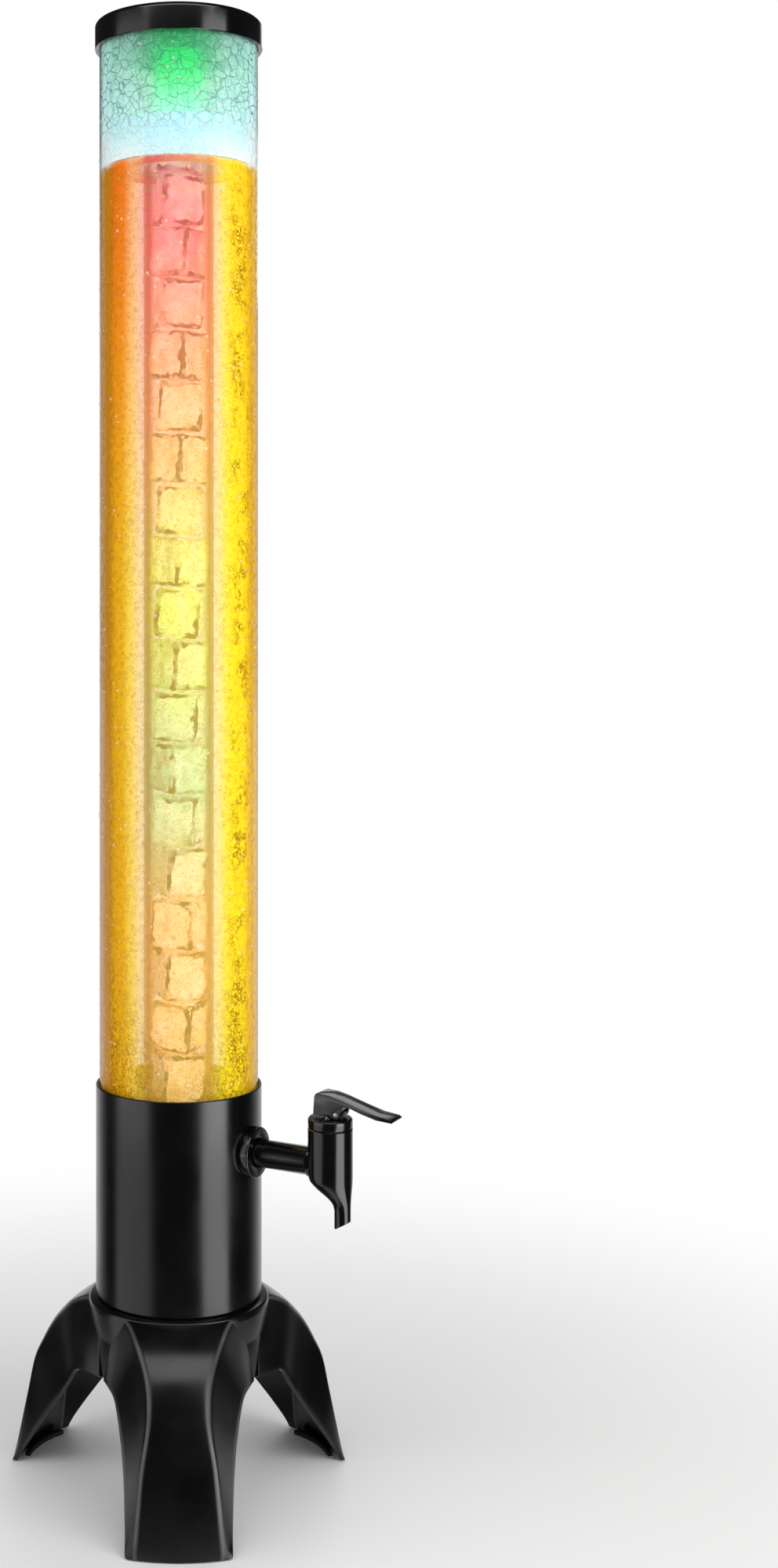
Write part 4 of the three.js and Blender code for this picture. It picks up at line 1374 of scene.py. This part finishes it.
@dataclass
class Column:
    """The sleeve, the tube, the beer and its foam, with beads that a scatter form strews."""

    scatter: NodeForm
    bore: float = 0.047
    socket: float = 0.0503
    floor_bottom: float = 0.196
    floor_top: float = 0.199
    socket_floor: float = 0.2243
    beer_bore: float = 0.0239
    foam_rings: int = 22
    foam_relief: float = 0.0016
    foam_scale: float = 240

    def build(self) -> None:
        """Builds the column from the sleeve up."""
        bottom, top, radius = span("reservoir")
        outline = [
            (0, self.floor_bottom), (self.bore, self.floor_bottom), (self.bore, bottom), (radius, bottom),
            (radius, top), (self.socket, top), (self.socket, self.socket_floor),
            (self.bore, self.socket_floor), (self.bore, self.floor_top), (0, self.floor_top),
        ]
        dress(revolve("reservoir_sleeve", outline, 0.0011, FINE), BLACK, Body.TOWER, "reservoir")
        self.tube()
        self.drink()

    def tube(self) -> None:
        """Builds the clear tube, its seal and the drops on it."""
        pipe("main_tube", "clear_tube", self.bore, 0.0006, CLEAR, Body.TOWER, FINE)
        pipe("tube_seal", "tube_gasket", self.bore, 0.0005, RUBBER, Body.TOWER, MEDIUM)
        bottom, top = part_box("reservoir")[1].z + 0.004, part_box("lid")[0].z - 0.002
        ground = span("main_tube")[2] + 0.0001, bottom, top
        values = {"Density": 9000.0, "Smallest": 0.0003, "Largest": 0.0013, "Flatness": 0.45, "Seed": 4}
        self.beads("condensation_drops", ground, DROPLET, values)

    def beads(self, name: str, ground: tuple[float, float, float], finish: Finish, values: Inputs) -> None:
        """Strews beads over an open round wall.

        Args:
            name: The piece's name.
            ground: The wall's radius, bottom and top.
            finish: The beads' finish.
            values: The form's inputs.
        """
        radius, bottom, top = ground
        form = bmesh.new()
        skin(form, [round_ring(TOWER_X, radius, bottom + (top - bottom) * row / 8, 96) for row in range(9)])
        bmesh.ops.recalc_face_normals(form, faces=form.faces)
        made = self.scatter.grow(plain_object(name + "_ground", form), name, finish, values)
        dress(smooth(made, 180), finish, Body.TOWER)

    def drink(self) -> None:
        """Builds the beer, its bubbles and the foam."""
        inner = self.beer_bore
        pipe("beer", "golden_beer", inner, 0.0008, LAGER, Body.TOWER, FINE)
        high, radius = span("beer")[1:]
        ground = radius - 0.0012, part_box("reservoir")[1].z, high - 0.003
        values = {"Density": 11000.0, "Smallest": 0.0002, "Largest": 0.0008, "Flatness": 0.9, "Seed": 11}
        self.beads("beer_bubbles", ground, BUBBLE, values)
        low, high, radius = span("foam_head")
        sides = (inner, low), (radius, low), (radius, high - 0.003)
        rows = [round_ring(TOWER_X, wide, z, FINE) for wide, z in sides]
        for step in range(self.foam_rings + 1):
            wide = radius - 0.0003 + (inner - radius + 0.0006) * step / self.foam_rings
            row = round_ring(TOWER_X, wide, high - 0.0018, FINE)
            for point in row:
                calm = 1 if 0 < step < self.foam_rings else 0.3
                point.z += self.foam_relief * noise.noise(point * self.foam_scale) * calm
            rows.append(row)
        form = bmesh.new()
        skin(form, rows, close=True)
        dress(smooth(closed_object("foam_layer", form), 50), FROTH, Body.TOWER, "foam_head")


@dataclass
class Tap:
    """The tap with its lever and valve."""

    barrel: float = 0.0137
    chamber: float = 0.01
    chamber_floor: float = 0.207
    barrel_bottom: float = 0.205
    neck: float = 0.017
    spout_offset: float = 0.0082
    spout: float = 0.005
    spout_bore: float = 0.0036
    spout_length: float = 0.01
    mouth_slant: float = 0.0025
    shank: float = 0.0085
    waterway: float = 0.0045
    waterway_depth: float = 0.02
    axis_z: float = 0.214
    spring_wire: float = 0.00055
    spring_turns: int = 6

    def build(self) -> None:
        """Builds the tap from its body out."""
        form = bmesh.new()
        skin(form, self.barrel_rings())
        skin(form, self.shank_rings())
        dress(closed_object("tap_barrel", form), BLACK_GLOSS, Body.TOWER, "tap_body")
        finer("tap_collar", "tap_saddle", 0.0009, BLACK_GLOSS, Body.TOWER)
        finer("tap_bonnet", "tap_cap", 0.0004, BLACK_GLOSS, Body.TOWER)
        finer("lever_pin", "hinge_pin", 0.0002, STEEL, Body.TOWER)
        finer("tap_nut", "shank_nut", 0.0005, BLACK, Body.TOWER)
        finer("tap_lever", "pour_lever", 0.0007, BLACK_GLOSS, Body.LEVER)
        finer("tap_stem", "valve_stem", 0.0003, STEEL, Body.PLUNGER)
        self.spring()

    def spring(self) -> None:
        """Winds the spring, which is pressed together between the stem's cup and the cap."""
        low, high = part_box("tap_spring")
        wire, steps = self.spring_wire, 30 * self.spring_turns
        radius, rise = (high.y - low.y) / 2 - wire, high.z - low.z - 2 * wire
        lean = math.atan2(rise, 2 * math.pi * self.spring_turns * radius)

        def ring(step: int, size: float) -> list[Vector]:
            """Draws the wire's section, or its middle if it has no size.

            Args:
                step: How far along the wire.
                size: The section's radius.

            Returns:
                Its points.
            """
            turn = 2 * math.pi * self.spring_turns * step / steps
            out = Vector((math.cos(turn), math.sin(turn), 0))
            side = Vector((-out.y * math.cos(lean), out.x * math.cos(lean), math.sin(lean))).cross(out)
            middle = Vector((TAP_X, 0, low.z + wire + rise * step / steps)) + out * radius
            turns = [k * math.pi / 6 for k in range(12)] if size else []
            return [middle + (out * math.cos(a) + side * math.sin(a)) * size for a in turns] or [middle]

        rings = [ring(step, wire) for step in range(steps + 1)]
        rings = [ring(0, 0), ring(0, 0.7 * wire), *rings, ring(steps, 0.7 * wire), ring(steps, 0)]
        form = bmesh.new()
        skin(form, rings)
        made = closed_object("valve_spring", form)
        made.data.materials.append(STEEL.material())
        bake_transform(made)
        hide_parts("tap_spring")
        LOG.info("%s bends between %s and %s", made.name, Body.PLUNGER.value, Body.TOWER.value)

    def barrel_rings(self) -> list[list[Vector]]:
        """Lays out the barrel, its neck and the spout with its slanted mouth.

        Returns:
            Its rings.
        """
        top, low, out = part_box("tap_body")[1].z, self.barrel_bottom, self.spout_offset
        end = low - self.neck
        mouth, slant = end - self.spout_length, self.mouth_slant
        # Offset, radius and height of each ring, and the slant of those at the mouth.
        rows: list[tuple[float, ...]] = [
            (0, 0, self.chamber_floor), (0, self.chamber, self.chamber_floor), (0, self.chamber, top),
            (0, self.barrel - 0.0006, top), (0, self.barrel, top - 0.0006), (0, self.barrel, low + 0.003),
        ]
        for share in (step / 12 for step in range(1, 12)):
            eased = share - 0.06 * math.sin(2 * math.pi * share)
            radius = self.barrel + eased * (self.spout - self.barrel)
            rows.append((eased * out, radius, low + 0.001 - share * self.neck))
        rows += [
            (out, self.spout, end - 0.001), (out, self.spout, mouth + 0.0004, slant),
            (out, self.spout - 0.0004, mouth, slant), (out, self.spout_bore, mouth, slant),
            (out, self.spout_bore, end), (out, 0, end),
        ]
        return [round_ring(TAP_X + x, radius, z, 64, *more) for x, radius, z, *more in rows]

    def shank_rings(self) -> list[list[Vector]]:
        """Lays out the shank from inside the sleeve to the barrel's wall.

        Returns:
            Its rings.
        """
        start, inside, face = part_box("tap_body")[0].x, TAP_X - self.chamber - 0.0002, TAP_X - self.barrel
        depth = start + self.waterway_depth
        stops = [
            (0.0, depth), (self.waterway, depth), (self.waterway, start), (self.shank - 0.0005, start),
            (self.shank, start + 0.0005), (self.shank, face - 0.0004), (self.shank + 0.0011, face + 0.001),
            (self.shank, inside), (0.0, inside),
        ]
        turn = Matrix.Translation((0, 0, self.axis_z)) @ Matrix.Rotation(math.pi / 2, 4, "Y")
        return [[turn @ point for point in round_ring(0, radius, x, 48)] for radius, x in stops]


@dataclass
class Top:
    """The lid, the ice tube's cap and the ice tube, with its ice stacked by a column form."""

    column: NodeForm
    bore: float = 0.047
    socket: float = 0.0503
    hole: float = 0.02
    top_thickness: float = 0.0031
    lid_rounding: float = 0.003
    gap: float = 0.0003
    plug: float = 0.0199
    cover_mouth: float = 0.0173
    cover_depth: float = 0.0042
    cavity: float = 0.0152
    lamp_floor: float = 0.0022
    lamp_hole: float = 0.0052
    tube_overlap: float = 0.0056
    tube_depth: float = 0.0114
    tube_wall: float = 0.002
    cup_floor: float = 0.003
    cube_half: float = 0.0146
    cube_half_height: float = 0.0158
    cube_rounding: float = 0.0032
    cube_cuts: int = 9
    edge_start: float = 0.6
    dent: float = 0.0014
    melted: float = 0.0004
    hollow: float = 0.02
    turn: float = math.radians(137.5)
    tilt: float = math.radians(3.5)

    def build(self) -> None:
        """Builds the lid, the cap and the ice tube."""
        self.lid()
        self.cap()
        self.tube()
        self.ice()

    def lid(self) -> None:
        """Builds the lid and its seal."""
        bottom, top, radius = span("lid")
        under, soft = top - self.top_thickness, self.lid_rounding
        turns = [k * math.pi / 20 for k in range(11)]
        arc = [(radius - soft * (1 - math.cos(a)), top - soft * (1 - math.sin(a))) for a in turns]
        outline = [
            (self.hole, under), (self.socket, under), (self.socket, bottom), (radius - 0.0004, bottom),
            (radius, bottom + 0.0004), *arc, (self.hole, top),
        ]
        dress(revolve("screw_lid", outline, 0.0, FINE), BLACK_GLOSS, Body.LID, "lid")
        pipe("lid_seal", "lid_gasket", self.bore, 0.0004, RUBBER, Body.LID, MEDIUM)

    def cap(self) -> None:
        """Builds the ice tube's cap, its cover, the button and the lens."""
        bottom, top, radius = span("ice_tube_cap")
        shoulder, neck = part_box("lid")[1].z - self.top_thickness - self.gap, self.hole - self.gap
        tube, mouth = span("ice_tube")[2] + self.gap, bottom + self.tube_overlap
        floor, ledge, crown = bottom + self.lamp_floor, top - self.cover_depth, mouth + self.tube_depth
        outline = [
            (radius, mouth), (radius, shoulder), (neck, shoulder), (neck, top), (self.cover_mouth, top),
            (self.cover_mouth, ledge), (self.cavity, ledge), (self.cavity, floor), (self.lamp_hole, floor),
            (self.lamp_hole, bottom), (self.plug, bottom), (self.plug, crown), (tube, crown), (tube, mouth),
        ]
        dress(revolve("ice_cap", outline, 0.0005, SLIM), BLACK_GLOSS, Body.LID, "ice_tube_cap")
        finer("battery_cover", "turn_cover", 0.0003, BLACK, Body.COVER)
        finer("power_button", "soft_button", 0.0003, RUBBER, Body.BUTTON)
        finer("led_lens", "lamp_lens", 0.0002, LAMP, Body.LID)

    def tube(self) -> None:
        """Builds the ice tube and its end cap."""
        radius = span("ice_tube")[2]
        bore = radius - self.tube_wall
        pipe("ice_tube", "ice_tube_wall", bore, 0.0005, ICE_WALL, Body.ICE_TUBE, SLIM)
        low, high, wide = span("ice_tube_end_cap")
        inner, floor = radius + self.gap, low + self.cup_floor
        cup = [(0, low), (wide, low), (wide, high), (inner, high), (inner, floor), (0, floor)]
        cup = revolve("end_cup", round_corners(cup, 0.0016, 6), 0.0, SLIM)
        dress(cup, BLACK_GLOSS, Body.ICE_TUBE, "ice_tube_end_cap")

    def cube(self) -> Object:
        """Builds one melted, dented ice cube, with how near each point is to an edge.

        Returns:
            The cube.
        """
        form = bmesh.new()
        bmesh.ops.create_cube(form, size=2)
        bmesh.ops.subdivide_edges(form, edges=form.edges, cuts=self.cube_cuts, use_grid_fill=True)
        reach = Vector((self.cube_half, self.cube_half, self.cube_half_height))
        rounding = self.cube_rounding
        nearness = []
        for vertex in form.verts:
            share = Vector(vertex.co)
            order = sorted(abs(v) for v in share)
            nearness.append(max(0.0, (order[1] - self.edge_start) / (1 - self.edge_start)))
            pairs = list(zip(share, reach))
            core = Vector(max(-1 + rounding / r, min(1 - rounding / r, v)) * r for v, r in pairs)
            away = Vector(v * r for v, r in pairs) - core
            place = core + (away.normalized() * rounding if away.length > 1e-9 else away)
            dent = self.dent * noise.noise(share * 2.1 + Vector((3.1, 0.7, 5.2))) - self.melted
            vertex.co = place * (1 - self.hollow * (1 - order[0])) + place.normalized() * dent
        made = plain_object("cube", form)
        made.data.attributes.new("edge", "FLOAT", "POINT").data.foreach_set("value", nearness)
        return made

    def ice(self) -> None:
        """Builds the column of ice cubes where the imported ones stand."""
        names = sorted(n for n in frame["nodes"] if n.startswith("ice_cube_"))
        heights = [sum(p.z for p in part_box(n)) / 2 for n in names]
        pitch = (heights[-1] - heights[0]) / (len(heights) - 1)
        values = {"Count": len(names), "Axis X": TOWER_X, "Lowest": heights[0], "Pitch": pitch}
        values |= {"Turn": self.turn, "Tilt": self.tilt}
        made = self.column.grow(self.cube(), "ice_cubes", ICE, values)
        dress(smooth(made, 60), ICE, Body.ICE_TUBE, *names)


@dataclass
class Hidden:
    """Small inner parts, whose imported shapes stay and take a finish."""

    finishes: tuple[tuple[Finish, tuple[str, ...]], ...] = (
        (RUBBER, ("tap_washer", "tap_seat_cup", "battery_cover_seal")),
        (RUBBER, ("ice_tube_lower_seal", "ice_tube_upper_seal")),
        (STEEL, ("coin_cell_1", "coin_cell_2", "coin_cell_3")),
        (BLACK, ("tactile_switch", "battery_holder")),
        (LAMP, ("led_chip",)),
        (BOARD, ("circuit_board",)),
    )

    def build(self) -> None:
        """Gives each part its finish."""
        for finish, nodes in self.finishes:
            for node in nodes:
                frame["nodes"][node].material_slots[0].material = finish.material()
                LOG.info("%s keeps its packed shape", node)


@dataclass
class Studio:
    """The floor, lights, world and camera. Turns are in degrees round the tower from the camera."""

    distance: float = 1.262
    eye: float = 0.559
    turn: float = math.radians(-60)
    focal_length: float = 45.9
    shift_x: float = 0.134
    shift_y: float = -0.1215
    room: float = 0.5
    room_gloss: float = 0.03
    sensor_width: float = 36.0
    floor_half_width: float = 8
    lamp_color: tuple[float, float, float] = (0.12, 1.0, 0.42)
    lamp_power: float = 0.05
    lamp_size: float = 0.015
    lamp_drop: float = 0.014
    # Name, turn, distance, height, width and height of the panel, watts, and the height it looks at.
    softboxes: tuple[tuple[str, float, float, float, float, float, float, float], ...] = (
        ("left softbox", -66, 1.25, 0.6, 1.15, 1.4, 5.0, 0.45),
        ("right softbox", 49, 1.25, 0.6, 0.72, 1.4, 9.0, 0.45),
        ("top softbox", 0, 0.75, 1.5, 2.0, 0.45, 8.0, 0.12),
        ("back softbox", 170, 1.4, 1.3, 0.8, 0.8, 3.0, 0.12),
    )
    # Turn, half width and soft edge in degrees, and strength, of the softboxes' images in the floor.
    images: tuple[tuple[float, float, float, float], ...] = ((-66, 26, 14, 0.9), (49, 19, 4, 3.4))

    def build(self) -> None:
        """Sets the stage."""
        self.floor()
        self.world()
        self.lights()
        self.camera()

    def aim(self, turn: float = 0.0) -> Vector:
        """A level direction from the tower, at a turn."""
        angle = self.turn + math.radians(turn)
        return Vector((math.cos(angle), math.sin(angle), 0.0))

    def lights(self) -> None:
        """Sets the softboxes round the tower, and the tower's own green lamp, which goes with the lid."""
        for name, turn, distance, height, wide, high, power, target in self.softboxes:
            data = bpy.data.lights.new(name, "AREA")
            data.shape, data.size, data.size_y, data.energy = "RECTANGLE", wide, high, power
            box = new_object(name, data)
            box.location = self.aim(turn) * distance + Vector((TOWER_X, 0, height))
            way = Vector((TOWER_X, 0, target)) - box.location
            box.rotation_euler = way.to_track_quat("-Z", "Y").to_euler()
        data = bpy.data.lights.new("green lamp", "POINT")
        data.color, data.energy, data.shadow_soft_size = self.lamp_color, self.lamp_power, self.lamp_size
        lamp = new_object("green lamp", data)
        lamp.location = (TOWER_X, 0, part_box("led_lens")[0].z - self.lamp_drop)
        lamp.parent = frame["bodies"][Body.LID.value]

    def seen(self, graph: Graph, gloss: Value) -> Value:
        """Finds how far the white set shows: in full straight or through glass, and by a share in gloss.

        Args:
            graph: The graph.
            gloss: The share.

        Returns:
            How far it shows, from 0 to 1.
        """
        path = graph.node("ShaderNodeLightPath")
        some = graph.math("MAXIMUM", path["Is Camera Ray"], path["Is Transmission Ray"])
        return graph.math("MAXIMUM", some, path["Is Glossy Ray"] * gloss)

    def towards(self, graph: Graph, way: Value, aim: Vector) -> Value:
        """The cosine of the angle between two directions."""
        return graph.vector("DOT_PRODUCT", way, aim, output="Value")

    def behind(self, graph: Graph, way: Value, low: float, high: float) -> Value:
        """Finds how far a direction points to the white sweep behind, and not to the dim room in front.

        Args:
            graph: The graph.
            way: The direction.
            low: The cosine at which the sweep starts.
            high: The cosine at which it is full.

        Returns:
            How far it points there, from 0 to 1.
        """
        up = graph.node("ShaderNodeSeparateXYZ", {0: way})["Z"]
        return self.towards(graph, way, -self.aim()).spread(low, high) * up.spread(0.26, 0.1)

    def floor(self) -> None:
        """Lays a pale floor that keeps the shadow near the tower and is white further out."""
        form = bmesh.new()
        bmesh.ops.create_grid(form, x_segments=1, y_segments=1, size=self.floor_half_width)
        floor = plain_object("floor", form)
        made = bpy.data.materials.new("pale floor")
        made.use_nodes = True
        graph = Graph(made.node_tree)
        where = graph.where()
        away, way = graph.vector("LENGTH", where, output="Value"), graph.vector("NORMALIZE", where)
        behind = self.behind(graph, way, 0.3, 0.9)
        level = self.room_gloss
        # Glossy rays see painted reflections of the softboxes in the floor.
        for turn, half, soft, strength in self.images:
            low, high = (math.cos(math.radians(half + side * soft / 2)) for side in (1, -1))
            level = self.towards(graph, way, self.aim(turn)).spread(low, high, 0.0, strength) + level
        plain = graph.node("ShaderNodeBsdfPrincipled", {"Base Color": "f2f2f2", "Roughness": 0.35})[0]
        white, room = (graph.node("ShaderNodeEmission", {"Strength": share})[0] for share in (1.0, level))
        far = away.spread(0.16, 0.75) * self.seen(graph, behind)
        pale = graph.node("ShaderNodeMixShader", {0: far, 1: plain, 2: white})[0]
        front = away.spread(0.12, 0.3) * (1.0 - behind)
        shown = graph.node("ShaderNodeLightPath")["Is Glossy Ray"] * front
        mixed = graph.node("ShaderNodeMixShader", {0: shown, 1: pale, 2: room})[0]
        graph.node("ShaderNodeOutputMaterial", {"Surface": mixed})
        floor.data.materials.append(made)

    def world(self) -> None:
        """Sets a white surround to look at, and a dimmer one that lights."""
        world = bpy.data.worlds.new("studio")
        bpy.context.scene.world = world
        world.use_nodes = True
        graph = Graph(world.node_tree)
        way = graph.node("ShaderNodeTexCoord")["Generated"]
        gloss = graph.node("ShaderNodeLightPath")["Is Glossy Ray"]
        plain = gloss * (self.room_gloss - self.room) + self.room
        white = self.seen(graph, self.behind(graph, way, 0.8, 0.98))
        strength = white * (1.0 - plain) + plain
        surround = graph.node("ShaderNodeBackground", {"Color": "ffffff", "Strength": strength})[0]
        graph.node("ShaderNodeOutputWorld", {"Surface": surround})

    def camera(self) -> None:
        """Sets the camera at the photograph's angle."""
        data = bpy.data.cameras.new("camera")
        data.lens, data.sensor_width, data.sensor_fit = self.focal_length, self.sensor_width, "AUTO"
        data.shift_x, data.shift_y, data.clip_start, data.clip_end = self.shift_x, self.shift_y, 0.01, 50
        camera = new_object("camera", data)
        camera.location = Vector((TOWER_X, 0, self.eye)) + self.aim() * self.distance
        camera.rotation_euler = (-self.aim()).to_track_quat("-Z", "Y").to_euler()
        bpy.context.scene.camera = camera


def main() -> None:
    """Builds the tower and its stage."""
    logging.basicConfig(level=logging.INFO, format="%(name)s: %(message)s")
    bpy.context.scene.view_settings.view_transform = "Standard"
    bpy.context.scene.cycles.transparent_max_bounces = 48
    scatter, column, wheel = scatter_form(), column_form(), wheel_form()
    for assembly in (Stand(wheel), Column(scatter), Tap(), Top(column), Hidden(), Studio()):
        assembly.build()


if __name__ == "__main__":
    main()
